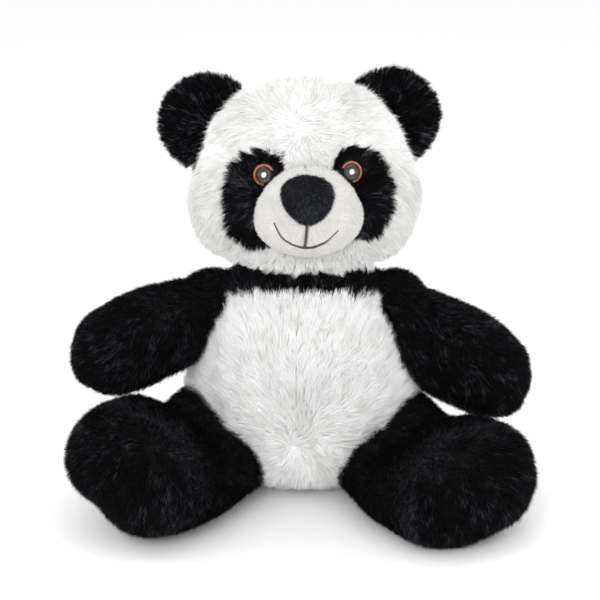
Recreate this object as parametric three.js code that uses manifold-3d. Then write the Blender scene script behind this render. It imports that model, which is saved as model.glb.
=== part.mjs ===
// Sitting plush panda: an assembly of sewn skins, fibre stuffing and embroidery.
// Millimetres, +Z up. The toy faces -Y and sits on the plane Z = 0; its left side is +X.
import * as THREE from "three";
import { mergeVertices } from "three/addons/utils/BufferGeometryUtils.js";
import Module from "manifold-3d";

const wasm = await Module();
wasm.setup();

// ---------------------------------------------------------------- driving dimensions
const GAP = 0.35; // clearance between pieces that touch
const LIMB_CLEARANCE = 3; // between a limb's root and the torso, which lets it move
const SEAM = 0.3; // kerf between two panels of one skin
const SKIN = 2.4; // pressed thickness of backing cloth and pile
const MUZZLE_SKIN = 1.6; // the muzzle cloth is thinner
const BALL_SEGMENTS = 14;

const SEAT_RADIUS = 40; // flat patch that the toy sits on
const TORSO = {
  // half-width against height, from the seat to the neck
  profile: [
    [57, 5], [67.5, 20], [71, 42], [70.5, 62], [67, 84],
    [60.5, 102], [52.5, 117], [43, 128], [29, 135.6], [14, 138.6],
  ],
  top: 139.2,
  depthRatio: 0.78, // front-to-back size over side-to-side size
  forward: 5.5, // the centre line leans this far forward of the origin
  around: 18,
};
const YOKE = { height: 116, slope: 0.16 }; // lower edge of the black shoulder band, rising forward

const NECK = { centre: [0, -4, 140], radius: 24 };

const HEAD = {
  centre: [1.5, -10, 187], // on the level where the head is widest
  halfWidth: 67.5,
  halfDepth: 51,
  above: 63.5,
  below: 47,
  yaw: 3, // degrees towards the toy's left
  roll: -1.4, // degrees towards the toy's right
};
const GUSSET_HALF_WIDTH = 19; // the strip from the forehead over to the nape

// Outline of the toy's left eye patch seen from the front, from the head's centre.
const EYE_PATCH = [
  [11, 8], [13.5, 19], [17, 27.5], [25, 32], [35, 29], [43, 21.5], [47.5, 9],
  [48.8, -4], [46.5, -16], [40, -24], [31, -27], [20, -26.5], [12, -20],
];
const EYE = { x: 25.1, z: 16.8, ring: 5.8, ringWidth: 1.6, pupil: 4.3, highlight: 1.8 };
const EYE_STITCH = 0.9; // height of the satin stitch
const EYE_RING_ARC = { start: -88, end: 152 }; // open towards the nose

const MUZZLE = { z: -5, halfWidth: 31.5, halfHeight: 27, forward: 41, reach: 36 };
const MUZZLE_TAPER = 0.16; // narrower at the top
const NOSE = { x: -1.5, z: 6, halfWidth: 14.4, halfHeight: 12.4, thickness: 4 };
const MOUTH = {
  thread: 1.5,
  philtrum: [[-2.6, -8.5], [-3.2, -14], [-4, -22]],
  smile: [[-20.6, -7.5], [-15.5, -16.5], [-4, -22], [6, -19.6], [14.6, -12.5]],
};

const EAR = {
  root: [51, -5, 223], // middle of the ear's seam with the head
  lean: 54, // degrees from level that the seam line climbs towards the crown
  radius: 27.5,
  halfThickness: 8,
  rise: 4.5, // of the disc's centre above the seam line
  clearance: 1.8, // of the loose edges from the head, so that the ear can fold
};

const ARM = {
  pivot: [57, -11, 111],
  length: 96,
  radii: [[0, 22], [14, 23], [30, 25.6], [48, 27.6], [65, 27.2], [80, 23.6], [90, 15.5]],
  depthRatio: 0.84,
  ball: 15,
  around: 14,
  left: { drop: 33.5, forward: 15 }, // degrees below level and forward of sideways
  right: { drop: 17, forward: 28 },
  swing: [-12, 8],
  lift: [0, 45],
};

const LEG = {
  pivot: [45, -15, 31],
  length: 134,
  radii: [[0, 28.5], [22, 30], [44, 32.5], [66, 37], [88, 39.5], [106, 38.5], [121, 32.5], [130, 20]],
  widthRatio: 1.07,
  // The leg's inner side leans inward towards the floor: slopes of the lean, and where they change.
  sag: { thigh: 0.62, footUnderside: 0.32, from: 2, full: 18, fade: 40, gone: 96 },
  instep: { depth: 13, at: 50, spread: 16 }, // a hollow across the top, along the leg
  soleStart: 105, // distance from the hip to the seam of the sole
  ball: 21,
  around: 14,
  // Splay is in degrees outward of straight ahead, and rise above level. The dip lowers the
  // foot's top on the inner side, and the trim rounds its outer side off below, at an angle.
  left: {
    splay: 28.5,
    rise: 1,
    dip: { depth: 11, full: 10, gone: 38 },
    trim: { share: 0.13, at: -70, spread: 30 },
  },
  right: {
    splay: 30.5,
    rise: 5,
    dip: { depth: 8.5, full: 2, gone: 24 },
    trim: { share: 0.22, at: -55, spread: 38 },
  },
  spread: [-5, 8],
  lift: [0, 8],
};

const TAIL = { centre: [0, 53, 33], radius: 13 };
const CLOSING_SEAM = { radius: 0.7, heights: [56, 64, 72, 80, 88, 96] };
const LABEL = { width: 14, depth: 9, thickness: 0.6, x: 15, z: 13 };
const POUCH = { centre: [0, 8, 12], radius: 27, halfHeight: 6.5 };

const FRONT = new THREE.Vector3(0, -1, 0);
const UP = new THREE.Vector3(0, 0, 1);
const LEFT = new THREE.Vector3(1, 0, 0);

// ---------------------------------------------------------------- materials
const material = (color, roughness) =>
  new THREE.MeshStandardMaterial({ color, roughness, metalness: 0 });
const COLOURS = {
  white: () => material(0xf1efec, 0.9),
  black: () => material(0x16171b, 0.85),
  muzzle: () => material(0xe7e4e0, 0.9),
  nose: () => material(0x24272d, 0.8),
  iris: () => material(0xd9743f, 0.5),
  pupil: () => material(0x5d534e, 0.6),
  highlight: () => material(0xf6f6f4, 0.5),
  thread: () => material(0x4a3a38, 0.7),
  stuffing: () => material(0xf7f7f5, 1),
  pellets: () => material(0xcfd3d6, 0.8),
  label: () => material(0xfafafa, 0.4),
};

// ---------------------------------------------------------------- solids and cuts
// A closed geometry as a manifold-3d solid.
function solid(geometry) {
  const bare = geometry.clone();
  bare.deleteAttribute("normal");
  bare.deleteAttribute("uv");
  const merged = mergeVertices(bare, 1e-4);
  return new wasm.Manifold(
    new wasm.Mesh({
      numProp: 3,
      vertProperties: new Float32Array(merged.attributes.position.array),
      triVerts: new Uint32Array(merged.index.array),
    }),
  );
}

// The largest body of a cut solid, as a geometry.
function geometryOf(cut) {
  const [body] = cut.decompose().sort((a, b) => b.volume() - a.volume());
  const mesh = body.getMesh();
  const geometry = new THREE.BufferGeometry();
  geometry.setAttribute("position", new THREE.BufferAttribute(mesh.vertProperties.slice(), 3));
  geometry.setIndex(new THREE.BufferAttribute(mesh.triVerts.slice(), 1));
  geometry.computeVertexNormals();
  return geometry;
}

// Everything on the far side of a plane, as a block.
function beyond(normal, point, extent = 600) {
  const block = new THREE.BoxGeometry(extent, extent, extent).translate(0, 0, extent / 2);
  const turn = new THREE.Quaternion().setFromUnitVectors(UP, normal.clone().normalize());
  return solid(block.applyQuaternion(turn).translate(point.x, point.y, point.z));
}

function ball([x, y, z], radius) {
  const sphere = new THREE.SphereGeometry(radius, BALL_SEGMENTS, BALL_SEGMENTS / 2);
  return solid(sphere.rotateX(Math.PI / 2).translate(x, y, z));
}

// Moves each vertex of a geometry to what the function makes of it.
function reshape(geometry, move) {
  const position = geometry.attributes.position;
  const vertex = new THREE.Vector3();
  for (let i = 0; i < position.count; i++) {
    move(vertex.fromBufferAttribute(position, i));
    position.setXYZ(i, vertex.x, vertex.y, vertex.z);
  }
  return geometry;
}

// A lathe profile moved inwards by a distance; its first and last points stay on the axis.
function insetProfile(points, distance) {
  const last = points.length - 1;
  return points.map((point, i) => {
    const before = points[Math.max(i - 1, 0)];
    const after = points[Math.min(i + 1, last)];
    const along = after.clone().sub(before).normalize();
    if (i === 0) return new THREE.Vector2(0, point.y + distance);
    if (i === last) return new THREE.Vector2(0, point.y - distance);
    return new THREE.Vector2(
      Math.max(point.x - along.y * distance, 0.5),
      point.y + along.x * distance,
    );
  });
}

// The prism that an outline in the XZ plane cuts from the front of the head.
function prism(outline, steps, grow = 0) {
  const corners = outline.map(([x, z]) => new THREE.Vector3(x, z, 0));
  const centre = new THREE.Vector3();
  for (const corner of corners) centre.addScaledVector(corner, 1 / corners.length);
  for (const corner of corners) corner.add(corner.clone().sub(centre).setLength(grow));
  const loop = new THREE.CatmullRomCurve3(corners, true).getPoints(steps).slice(0, -1);
  const shape = new THREE.Shape(loop.map((p) => new THREE.Vector2(p.x, p.y)));
  const block = new THREE.ExtrudeGeometry(shape, { depth: 120, bevelEnabled: false });
  return block.rotateX(Math.PI / 2); // from the XY plane to XZ, reaching towards the front
}

const radians = THREE.MathUtils.degToRad;
const vector = ([x, y, z]) => new THREE.Vector3(x, y, z);
const mirrored = ([x, y, z], side) => [x * side, y, z];
const SIDES = [[-1, "right"], [1, "left"]];

// ---------------------------------------------------------------- torso
function torsoSurface(inset) {
  const bottom = [new THREE.Vector2(0, 0), new THREE.Vector2(SEAT_RADIUS, 0)];
  const sides = TORSO.profile.map(([r, z]) => new THREE.Vector2(r, z));
  const profile = [...bottom, ...sides, new THREE.Vector2(0, TORSO.top)];
  const lathe = new THREE.LatheGeometry(insetProfile(profile, inset), TORSO.around);
  lathe.rotateX(Math.PI / 2);
  return solid(
    reshape(lathe, (p) => {
      p.y = p.y * TORSO.depthRatio - TORSO.forward;
    }),
  );
}

// How far back the torso's centre line is at a height.
function torsoBack(z) {
  const above = TORSO.profile.findIndex(([, height]) => height >= z);
  const [lowRadius, low] = TORSO.profile[above - 1];
  const [highRadius, high] = TORSO.profile[above];
  const radius = THREE.MathUtils.mapLinear(z, low, high, lowRadius, highRadius);
  return radius * TORSO.depthRatio - TORSO.forward;
}

// ---------------------------------------------------------------- limbs
// A limb's own frame: its lathe axis runs from the pivot to the tip.
function limbFrame(pivot, direction) {
  const across = direction.clone().cross(UP).normalize();
  const over = across.clone().cross(direction);
  return new THREE.Matrix4().makeBasis(across, direction, over).setPosition(vector(pivot));
}

function limbProfile(limb, inset) {
  const root = limb.radii[0][1];
  const cap = [90, 72, 54, 36, 18].map((angle) => {
    const a = radians(angle);
    return new THREE.Vector2(root * Math.cos(a) * (angle === 90 ? 0 : 1), -root * Math.sin(a));
  });
  const body = limb.radii.map(([s, r]) => new THREE.Vector2(r, s));
  return insetProfile([...cap, ...body, new THREE.Vector2(0, limb.length)], inset);
}

const onSide = (limb, side) => (side > 0 ? limb.left : limb.right);

function armDirection(side) {
  const { drop, forward } = onSide(ARM, side);
  const level = Math.cos(radians(drop));
  return new THREE.Vector3(
    side * level * Math.cos(radians(forward)),
    -level * Math.sin(radians(forward)),
    -Math.sin(radians(drop)),
  );
}

function legDirection(side) {
  const { splay, rise } = onSide(LEG, side);
  const level = Math.cos(radians(rise));
  return new THREE.Vector3(
    side * level * Math.sin(radians(splay)),
    -level * Math.cos(radians(splay)),
    Math.sin(radians(rise)),
  );
}

function armGeometry(side, inset) {
  const lathe = new THREE.LatheGeometry(limbProfile(ARM, inset), ARM.around);
  lathe.scale(ARM.depthRatio, 1, 1);
  return lathe.applyMatrix4(limbFrame(mirrored(ARM.pivot, side), armDirection(side)));
}

// Leans the inner side of a leg's lathe inward towards the floor, in the limb's own frame.
function sagged(lathe, side) {
  const { thigh, footUnderside, from, full, fade, gone } = LEG.sag;
  return reshape(lathe, (p) => {
    const started = THREE.MathUtils.smoothstep(p.y, from, full);
    const ended = THREE.MathUtils.smoothstep(p.y, fade, gone);
    const inward = 0.5 + (0.5 * side * p.x) / Math.max(Math.hypot(p.x, p.z), 1e-6);
    const slope = THREE.MathUtils.lerp(thigh, p.z < 0 ? footUnderside : 0, ended);
    p.x = p.x * LEG.widthRatio - side * p.z * started * inward * slope;
  });
}

const bump = (x, { at, spread }) => Math.exp(-(((x - at) / spread) ** 2));

// Hollows a leg's instep, lowers the inner top of the foot and trims its outer side below, in
// the limb's own frame.
function trodden(lathe, side) {
  const { dip, trim } = onSide(LEG, side);
  const { smoothstep } = THREE.MathUtils;
  return reshape(lathe, (p) => {
    const outward = -side * p.x;
    const angle = THREE.MathUtils.radToDeg(Math.atan2(p.z, outward));
    const kept = 1 - trim.share * bump(angle, trim) * smoothstep(p.y, 56, 90);
    p.x *= kept;
    p.z *= kept;
    const up = smoothstep(p.z / Math.max(Math.hypot(p.x, p.z), 1e-6), -0.1, 0.8);
    const foot = smoothstep(p.y, 50, 70) * (1 - 0.55 * smoothstep(p.y, 94, 124));
    const lowered = dip.depth * foot * (1 - smoothstep(outward, dip.full, dip.gone));
    p.z -= up * (LEG.instep.depth * bump(p.y, LEG.instep) + lowered);
  });
}

function legGeometry(side, inset) {
  const round = new THREE.LatheGeometry(limbProfile(LEG, inset), LEG.around);
  const lathe = trodden(sagged(round, side), side);
  lathe.applyMatrix4(limbFrame(mirrored(LEG.pivot, side), legDirection(side)));
  return reshape(lathe, (p) => {
    p.z = Math.max(p.z, inset); // the underside is pressed flat where it rests
  });
}

// Axes that swing a limb forward and lift it, about its pivot.
const middle = ([low, high]) => (low + high) / 2;
const spread = ([low, high]) => (high - low) / 2;
const liftAxis = (direction) => direction.clone().cross(UP).normalize();

// The space that a limb takes over its whole range: its profile flared about the pivot,
// along the middle of the range.
function roomFor(limb, pivot, direction, swings, towardsFront, widen) {
  const flare = radians(Math.hypot(spread(swings), spread(limb.lift)));
  const polar = (reach, angle) => new THREE.Vector2(reach * Math.sin(angle), reach * Math.cos(angle));
  const root = limb.radii[0][1] + LIMB_CLEARANCE;
  const behind = Math.PI / 2 + flare; // the last angle where the round root is still bare
  const profile = [new THREE.Vector2(0, -root)];
  for (const share of [0.25, 0.5, 0.75, 1]) {
    profile.push(polar(root, THREE.MathUtils.lerp(Math.PI, behind, share)));
  }
  for (const [along, radius] of limb.radii.slice(1)) {
    const wide = radius + LIMB_CLEARANCE;
    profile.push(polar(Math.hypot(along, wide), Math.atan2(wide, along) + flare));
  }
  profile.push(new THREE.Vector2(0, limb.length + LIMB_CLEARANCE));
  const centred = direction
    .clone()
    .applyAxisAngle(liftAxis(direction), radians(middle(limb.lift)))
    .applyAxisAngle(UP, radians(middle(swings)) * towardsFront);
  const lathe = widen(new THREE.LatheGeometry(profile, limb.around + 2));
  return solid(lathe.applyMatrix4(limbFrame(pivot, centred)));
}

// ---------------------------------------------------------------- head
const headTurn = new THREE.Matrix4()
  .makeTranslation(vector(NECK.centre))
  .multiply(new THREE.Matrix4().makeRotationZ(radians(HEAD.yaw)))
  .multiply(new THREE.Matrix4().makeRotationY(radians(HEAD.roll)))
  .multiply(new THREE.Matrix4().makeTranslation(vector(NECK.centre).negate()));

// How far the head's surface is along a direction from its centre.
function headReach(direction, inset) {
  const high = direction.z > 0 ? HEAD.above : HEAD.below;
  const size = [HEAD.halfWidth - inset, HEAD.halfDepth - inset, high - inset];
  const power = 2.5 - 0.5 * direction.z; // a domed crown and full cheeks
  const excess = (r) =>
    Math.pow(Math.abs((r * direction.x) / size[0]), power) +
    Math.pow(Math.abs((r * direction.y) / size[1]), 2.3) +
    Math.pow(Math.abs((r * direction.z) / size[2]), power) - 1;
  let near = 0;
  let far = 2 * HEAD.halfWidth;
  for (let i = 0; i < 40; i++) {
    const middle = (near + far) / 2;
    if (excess(middle) > 0) far = middle;
    else near = middle;
  }
  return near;
}

function headSurface(inset) {
  const sphere = new THREE.SphereGeometry(1, 18, 12).rotateX(Math.PI / 2);
  return solid(reshape(sphere, (p) => p.multiplyScalar(headReach(p, inset))));
}

// The muzzle's dome, and the point of its surface in front of x, z.
function muzzleSize(inset) {
  return [MUZZLE.halfWidth - inset, MUZZLE.reach - inset, MUZZLE.halfHeight - inset];
}

function muzzleSurface(inset) {
  const [a, b, c] = muzzleSize(inset);
  const sphere = new THREE.SphereGeometry(1, 16, 10).rotateX(Math.PI / 2);
  return solid(
    reshape(sphere, (p) => {
      p.set(p.x * a * (1 - MUZZLE_TAPER * p.z), p.y * b - MUZZLE.forward, p.z * c + MUZZLE.z);
    }),
  );
}

function onMuzzle(x, z, proud) {
  const [a, b, c] = muzzleSize(-proud);
  const high = (z - MUZZLE.z) / c;
  const wide = x / (a * (1 - MUZZLE_TAPER * high));
  const deep = Math.sqrt(Math.max(1 - high * high - wide * wide, 0));
  return new THREE.Vector3(x, -MUZZLE.forward - b * deep, z);
}

// The point of the head's surface in front of x, z, and the direction that it faces.
function onFace(x, z, inset) {
  let near = 0;
  let far = HEAD.halfDepth;
  for (let i = 0; i < 30; i++) {
    const y = (near + far) / 2;
    const p = new THREE.Vector3(x, -y, z);
    if (p.length() > headReach(p.clone().normalize(), inset)) far = y;
    else near = y;
  }
  return new THREE.Vector3(x, -near, z);
}

function faceNormal(x, z) {
  const step = 1;
  const across = onFace(x + step, z, 0).sub(onFace(x - step, z, 0));
  const up = onFace(x, z + step, 0).sub(onFace(x, z - step, 0));
  return across.cross(up).normalize();
}

// ---------------------------------------------------------------- assembly
const panda = new THREE.Group();
const head = new THREE.Group();
head.applyMatrix4(headTurn.clone().multiply(new THREE.Matrix4().makeTranslation(vector(HEAD.centre))));
panda.add(head);

function piece(parent, name, colour, shape) {
  const geometry = shape.isBufferGeometry ? shape : geometryOf(shape);
  const mesh = new THREE.Mesh(geometry, COLOURS[colour]());
  mesh.name = name;
  parent.add(mesh);
}

// A shell between two inset surfaces of the same shape.
const shell = (surface, thickness) => surface(0).subtract(surface(thickness));

// One half of a skin, on the side of the plane that the normal points to.
const half = (skin, normal, point) =>
  skin.intersect(beyond(normal, point.clone().addScaledVector(normal, SEAM / 2)));

// ---- torso: two white lower skins, a black band over the shoulders, stuffing and a seat pouch
function buildTorso() {
  let room = ball(NECK.centre, NECK.radius + 1);
  for (const side of [-1, 1]) {
    const armPivot = mirrored(ARM.pivot, side);
    const legPivot = mirrored(LEG.pivot, side);
    room = room
      .add(roomFor(ARM, armPivot, armDirection(side), ARM.swing, -side, (lathe) => lathe))
      .add(roomFor(LEG, legPivot, legDirection(side), LEG.spread, side, (lathe) => sagged(lathe, side)));
  }
  const skin = shell(torsoSurface, SKIN).subtract(room);
  const waist = new THREE.Vector3(0, -TORSO.forward, 0);
  const bandNormal = new THREE.Vector3(0, YOKE.slope, 1).normalize();
  const bandPoint = new THREE.Vector3(0, 0, YOKE.height);
  const band = half(skin, bandNormal, bandPoint);
  const lower = half(skin, bandNormal.clone().negate(), bandPoint);
  const back = FRONT.clone().negate();
  const rear = half(lower, back, waist);
  const centre = new THREE.Vector3();
  piece(panda, "chest_yoke", "black", half(band, FRONT, waist));
  piece(panda, "back_yoke", "black", half(band, back, waist));
  piece(panda, "belly_panel", "white", half(lower, FRONT, waist));
  piece(panda, "back_panel_left", "white", half(rear, LEFT, centre));
  piece(panda, "back_panel_right", "white", half(rear, LEFT.clone().negate(), centre));

  const pouch = new THREE.SphereGeometry(1, 12, 6).rotateX(Math.PI / 2);
  const pouchGeometry = (grow) =>
    pouch
      .clone()
      .scale(POUCH.radius + grow, POUCH.radius + grow, POUCH.halfHeight + grow)
      .translate(...POUCH.centre);
  const pouchDoor = new THREE.BoxGeometry(24, 12, 12).translate(0, POUCH.centre[1], 4);
  const filling = torsoSurface(SKIN + GAP)
    .subtract(room)
    .subtract(solid(pouchGeometry(GAP)))
    .subtract(solid(pouchDoor));
  piece(panda, "torso_stuffing", "stuffing", filling);
  piece(panda, "pellet_pouch", "pellets", solid(pouchGeometry(0)));
}

// ---- neck: a firm ball of stuffing that the head turns on
function buildNeck() {
  piece(panda, "neck_fill", "stuffing", ball(NECK.centre, NECK.radius));
}

// ---- head
const earSeam = (side) => {
  const a = radians(EAR.lean);
  return {
    root: vector(mirrored(EAR.root, side)).sub(vector(HEAD.centre)),
    along: new THREE.Vector3(-side * Math.cos(a), 0, Math.sin(a)),
    out: new THREE.Vector3(side * Math.sin(a), 0, Math.cos(a)),
  };
};

// A rod along the ear's seam, which the ear folds about.
function earRod(side, radius, length) {
  const { root, along } = earSeam(side);
  const rod = new THREE.CylinderGeometry(radius, radius, length, BALL_SEGMENTS);
  rod.applyQuaternion(new THREE.Quaternion().setFromUnitVectors(new THREE.Vector3(0, 1, 0), along));
  return solid(rod.translate(root.x, root.y, root.z));
}

function buildEar(side, name) {
  const { root, out } = earSeam(side);
  const disc = new THREE.SphereGeometry(1, 18, 8)
    .scale(EAR.radius, EAR.halfThickness, EAR.radius)
    .translate(root.x + out.x * EAR.rise, root.y, root.z + out.z * EAR.rise);
  const chord = 2 * Math.sqrt(EAR.radius ** 2 - EAR.rise ** 2) - 4;
  const ear = solid(disc)
    .intersect(beyond(out, root))
    .subtract(headSurface(-EAR.clearance))
    .add(earRod(side, EAR.halfThickness - 1, chord));
  const back = FRONT.clone().negate();
  piece(head, "ear_front_" + name, "black", half(ear, FRONT, root));
  piece(head, "ear_back_" + name, "black", half(ear, back, root));
  return earRod(side, EAR.halfThickness - 1 + 2 * GAP, chord + 2 * GAP);
}

function buildEye(side, name) {
  const centre = onFace(side * EYE.x, EYE.z, 0);
  const normal = faceNormal(side * EYE.x, EYE.z);
  const turn = new THREE.Quaternion().setFromUnitVectors(UP, normal);
  const place = (geometry, lift) => {
    const at = centre.clone().addScaledVector(normal, lift);
    return geometry.applyQuaternion(turn).translate(at.x, at.y, at.z);
  };
  const disc = (radius) =>
    new THREE.CylinderGeometry(radius, radius, EYE_STITCH, 14).rotateX(Math.PI / 2);
  const lift = EYE_STITCH / 2 + 1;

  const { start, end } = EYE_RING_ARC;
  const from = radians(side > 0 ? start : 180 - end);
  const to = radians(side > 0 ? end : 180 - start);
  const shape = new THREE.Shape();
  shape.absarc(0, 0, EYE.ring + EYE.ringWidth / 2, from, to, false);
  shape.absarc(0, 0, EYE.ring - EYE.ringWidth / 2, to, from, true);
  const ring = new THREE.ExtrudeGeometry(shape, {
    depth: EYE_STITCH,
    bevelEnabled: false,
    curveSegments: 9,
  }).translate(0, 0, -EYE_STITCH / 2);
  piece(head, "iris_ring_" + name, "iris", solid(place(ring, lift)));
  piece(head, "pupil_" + name, "pupil", solid(place(disc(EYE.pupil), lift)));
  const proud = lift + EYE_STITCH + GAP;
  piece(head, "eye_highlight_" + name, "highlight", solid(place(disc(EYE.highlight), proud)));
}

function buildMuzzle() {
  const face = headSurface(-GAP);
  const skin = shell(muzzleSurface, MUZZLE_SKIN).subtract(face);
  const centre = new THREE.Vector3();
  piece(head, "muzzle_left", "muzzle", half(skin, LEFT, centre));
  piece(head, "muzzle_right", "muzzle", half(skin, LEFT.clone().negate(), centre));
  piece(head, "muzzle_stuffing", "stuffing", muzzleSurface(MUZZLE_SKIN + GAP).subtract(face));

  const outline = [];
  for (let i = 0; i < 12; i++) {
    const a = (i / 12) * 2 * Math.PI;
    const taper = 1 + 0.22 * Math.sin(a); // an inverted triangle with round corners
    outline.push([
      NOSE.x + NOSE.halfWidth * Math.cos(a) * taper,
      NOSE.z + NOSE.halfHeight * Math.sin(a),
    ]);
  }
  const nose = muzzleSurface(-NOSE.thickness)
    .subtract(muzzleSurface(-GAP))
    .intersect(beyond(FRONT, new THREE.Vector3(0, -MUZZLE.forward, 0)))
    .intersect(solid(prism(outline, 16)));
  piece(head, "nose", "nose", nose);

  const radius = MOUTH.thread / 2;
  const line = (points) => {
    const path = new THREE.CatmullRomCurve3(
      points.map(([x, z]) => onMuzzle(x, z, radius + GAP + 0.4)),
    );
    const section = new THREE.Shape().absarc(0, 0, radius, 0, 2 * Math.PI, false);
    const steps = 3 * (points.length - 1);
    return solid(
      new THREE.ExtrudeGeometry(section, { extrudePath: path, steps, curveSegments: 2 }),
    );
  };
  piece(head, "mouth_embroidery", "thread", line(MOUTH.smile).add(line(MOUTH.philtrum)));
}

function buildHead() {
  const neckInHead = vector(NECK.centre).sub(vector(HEAD.centre)).toArray();
  let room = ball(neckInHead, NECK.radius + 1);
  for (const [side, name] of SIDES) room = room.add(buildEar(side, name));
  const skin = shell(headSurface, SKIN).subtract(room);

  // the black eye patches are set into the white skin
  let windows = null;
  for (const [side, name] of SIDES) {
    const cutter = (grow) => {
      const block = prism(EYE_PATCH.map(([x, z]) => [x, z]), 26, grow);
      return solid(side > 0 ? block : reshapeMirror(block));
    };
    piece(head, "eye_patch_" + name, "black", skin.intersect(cutter(0)));
    const window = cutter(SEAM);
    windows = windows ? windows.add(window) : window;
    buildEye(side, name);
  }
  const white = skin.subtract(windows);
  const strip = solid(
    new THREE.BoxGeometry(2 * GUSSET_HALF_WIDTH, 300, 200).translate(0, 0, 100 + EYE_PATCH[0][1]),
  );
  const stripCut = solid(
    new THREE.BoxGeometry(2 * (GUSSET_HALF_WIDTH + SEAM), 300, 200 + 2 * SEAM).translate(
      0, 0, 100 + EYE_PATCH[0][1],
    ),
  );
  const sides = white.subtract(stripCut);
  const nape = new THREE.Vector3(0, 16, 0);
  const centre = new THREE.Vector3();
  const back = FRONT.clone().negate();
  const cheeks = half(sides, FRONT, nape);
  const rear = half(white, back, nape);
  piece(head, "head_gusset", "white", half(white.intersect(strip), FRONT, nape));
  piece(head, "cheek_left", "white", half(cheeks, LEFT, centre));
  piece(head, "cheek_right", "white", half(cheeks, LEFT.clone().negate(), centre));
  piece(head, "head_back_left", "white", half(rear, LEFT, centre));
  piece(head, "head_back_right", "white", half(rear, LEFT.clone().negate(), centre));
  piece(head, "head_stuffing", "stuffing", headSurface(SKIN + GAP).subtract(room));
  buildMuzzle();
}

// A geometry seen in a mirror across the plane X = 0, with its faces still pointing out.
function reshapeMirror(geometry) {
  const flipped = geometry.index ? geometry.toNonIndexed() : geometry.clone();
  const position = flipped.attributes.position;
  const corners = [0, 1, 2].map(() => new THREE.Vector3());
  for (let i = 0; i < position.count; i += 3) {
    corners.forEach((corner, j) => corner.fromBufferAttribute(position, i + j));
    corners.reverse().forEach((corner, j) => position.setXYZ(i + j, -corner.x, corner.y, corner.z));
    corners.reverse();
  }
  return flipped;
}

// ---- arms: a front and a back panel round one stuffing, on a small ball in the shoulder
function buildArm(side, name) {
  const pivot = mirrored(ARM.pivot, side);
  const direction = armDirection(side);
  const surface = (inset) => solid(armGeometry(side, inset));
  const point = vector(pivot);
  const mouth = point.clone().addScaledVector(direction, -6);
  const skin = shell(surface, SKIN).intersect(beyond(direction, mouth));
  const front = UP.clone().cross(direction).normalize().multiplyScalar(-side);
  piece(panda, "arm_front_" + name, "black", half(skin, front, point));
  piece(panda, "arm_back_" + name, "black", half(skin, front.clone().negate(), point));
  const filling = surface(SKIN + GAP)
    .intersect(beyond(direction, mouth))
    .subtract(ball(pivot, ARM.ball + 1));
  piece(panda, "arm_stuffing_" + name, "stuffing", filling);
  piece(panda, "shoulder_fill_" + name, "stuffing", ball(pivot, ARM.ball));
}

// ---- legs: an inner and an outer panel, a round sole, one stuffing and a ball in the hip
function buildLeg(side, name) {
  const pivot = mirrored(LEG.pivot, side);
  const direction = legDirection(side);
  const surface = (inset) => solid(legGeometry(side, inset));
  const point = vector(pivot);
  const mouth = point.clone().addScaledVector(direction, -8);
  const soleSeam = point.clone().addScaledVector(direction, LEG.soleStart);
  const skin = shell(surface, SKIN).intersect(beyond(direction, mouth));
  const tube = half(skin, direction.clone().negate(), soleSeam);
  const outward = liftAxis(direction).multiplyScalar(-side);
  piece(panda, "leg_outer_" + name, "black", half(tube, outward, point));
  piece(panda, "leg_inner_" + name, "black", half(tube, outward.clone().negate(), point));
  piece(panda, "sole_" + name, "black", half(skin, direction, soleSeam));
  const filling = surface(SKIN + GAP)
    .intersect(beyond(direction, mouth))
    .subtract(ball(pivot, LEG.ball + 1));
  piece(panda, "leg_stuffing_" + name, "stuffing", filling);
  piece(panda, "hip_fill_" + name, "stuffing", ball(pivot, LEG.ball));
}

// ---- details on the back: a round tail, the seam closed by hand and a blank label
function buildBackDetails() {
  const body = torsoSurface(-GAP);
  piece(panda, "tail", "white", ball(TAIL.centre, TAIL.radius).subtract(body));

  const { radius, heights } = CLOSING_SEAM;
  const path = new THREE.CatmullRomCurve3(
    heights.map((z) => new THREE.Vector3(0, torsoBack(z) + radius + GAP, z)),
  );
  const section = new THREE.Shape().absarc(0, 0, radius, 0, 2 * Math.PI, false);
  const seam = new THREE.ExtrudeGeometry(section, { extrudePath: path, steps: 6, curveSegments: 2 });
  piece(panda, "closing_seam", "thread", solid(seam));

  const { width, depth, thickness, x, z } = LABEL;
  const label = new THREE.BoxGeometry(width, 2 * depth, thickness).translate(x, torsoBack(z) - 3, z);
  piece(panda, "care_label", "label", solid(label).subtract(body));
}

buildTorso();
buildNeck();
buildHead();
for (const [side, name] of SIDES) {
  buildArm(side, name);
  buildLeg(side, name);
}
buildBackDetails();

export default panda;
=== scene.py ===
"""Sitting plush panda: stuffed cloth skins, real-strand pile, embroidery and fibre filling."""
import math

import bmesh
import bpy
import numpy as np
from mathutils import Matrix, Vector


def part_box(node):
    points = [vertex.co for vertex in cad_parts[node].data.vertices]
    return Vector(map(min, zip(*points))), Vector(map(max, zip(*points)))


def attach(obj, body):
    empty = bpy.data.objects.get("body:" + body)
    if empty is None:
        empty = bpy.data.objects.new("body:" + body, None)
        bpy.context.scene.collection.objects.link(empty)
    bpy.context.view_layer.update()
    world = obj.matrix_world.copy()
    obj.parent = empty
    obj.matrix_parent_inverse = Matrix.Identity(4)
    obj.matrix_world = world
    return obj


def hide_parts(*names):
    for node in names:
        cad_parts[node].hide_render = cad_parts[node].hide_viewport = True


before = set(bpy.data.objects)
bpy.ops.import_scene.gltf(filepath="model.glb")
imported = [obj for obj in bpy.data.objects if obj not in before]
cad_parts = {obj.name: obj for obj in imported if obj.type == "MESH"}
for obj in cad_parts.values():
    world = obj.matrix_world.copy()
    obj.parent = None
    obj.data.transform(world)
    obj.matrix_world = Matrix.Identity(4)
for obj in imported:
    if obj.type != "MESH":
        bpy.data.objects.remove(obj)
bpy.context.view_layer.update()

MM = 0.001
RNG = np.random.default_rng(7)
SIDES = ((1, "left"), (-1, "right"))

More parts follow.
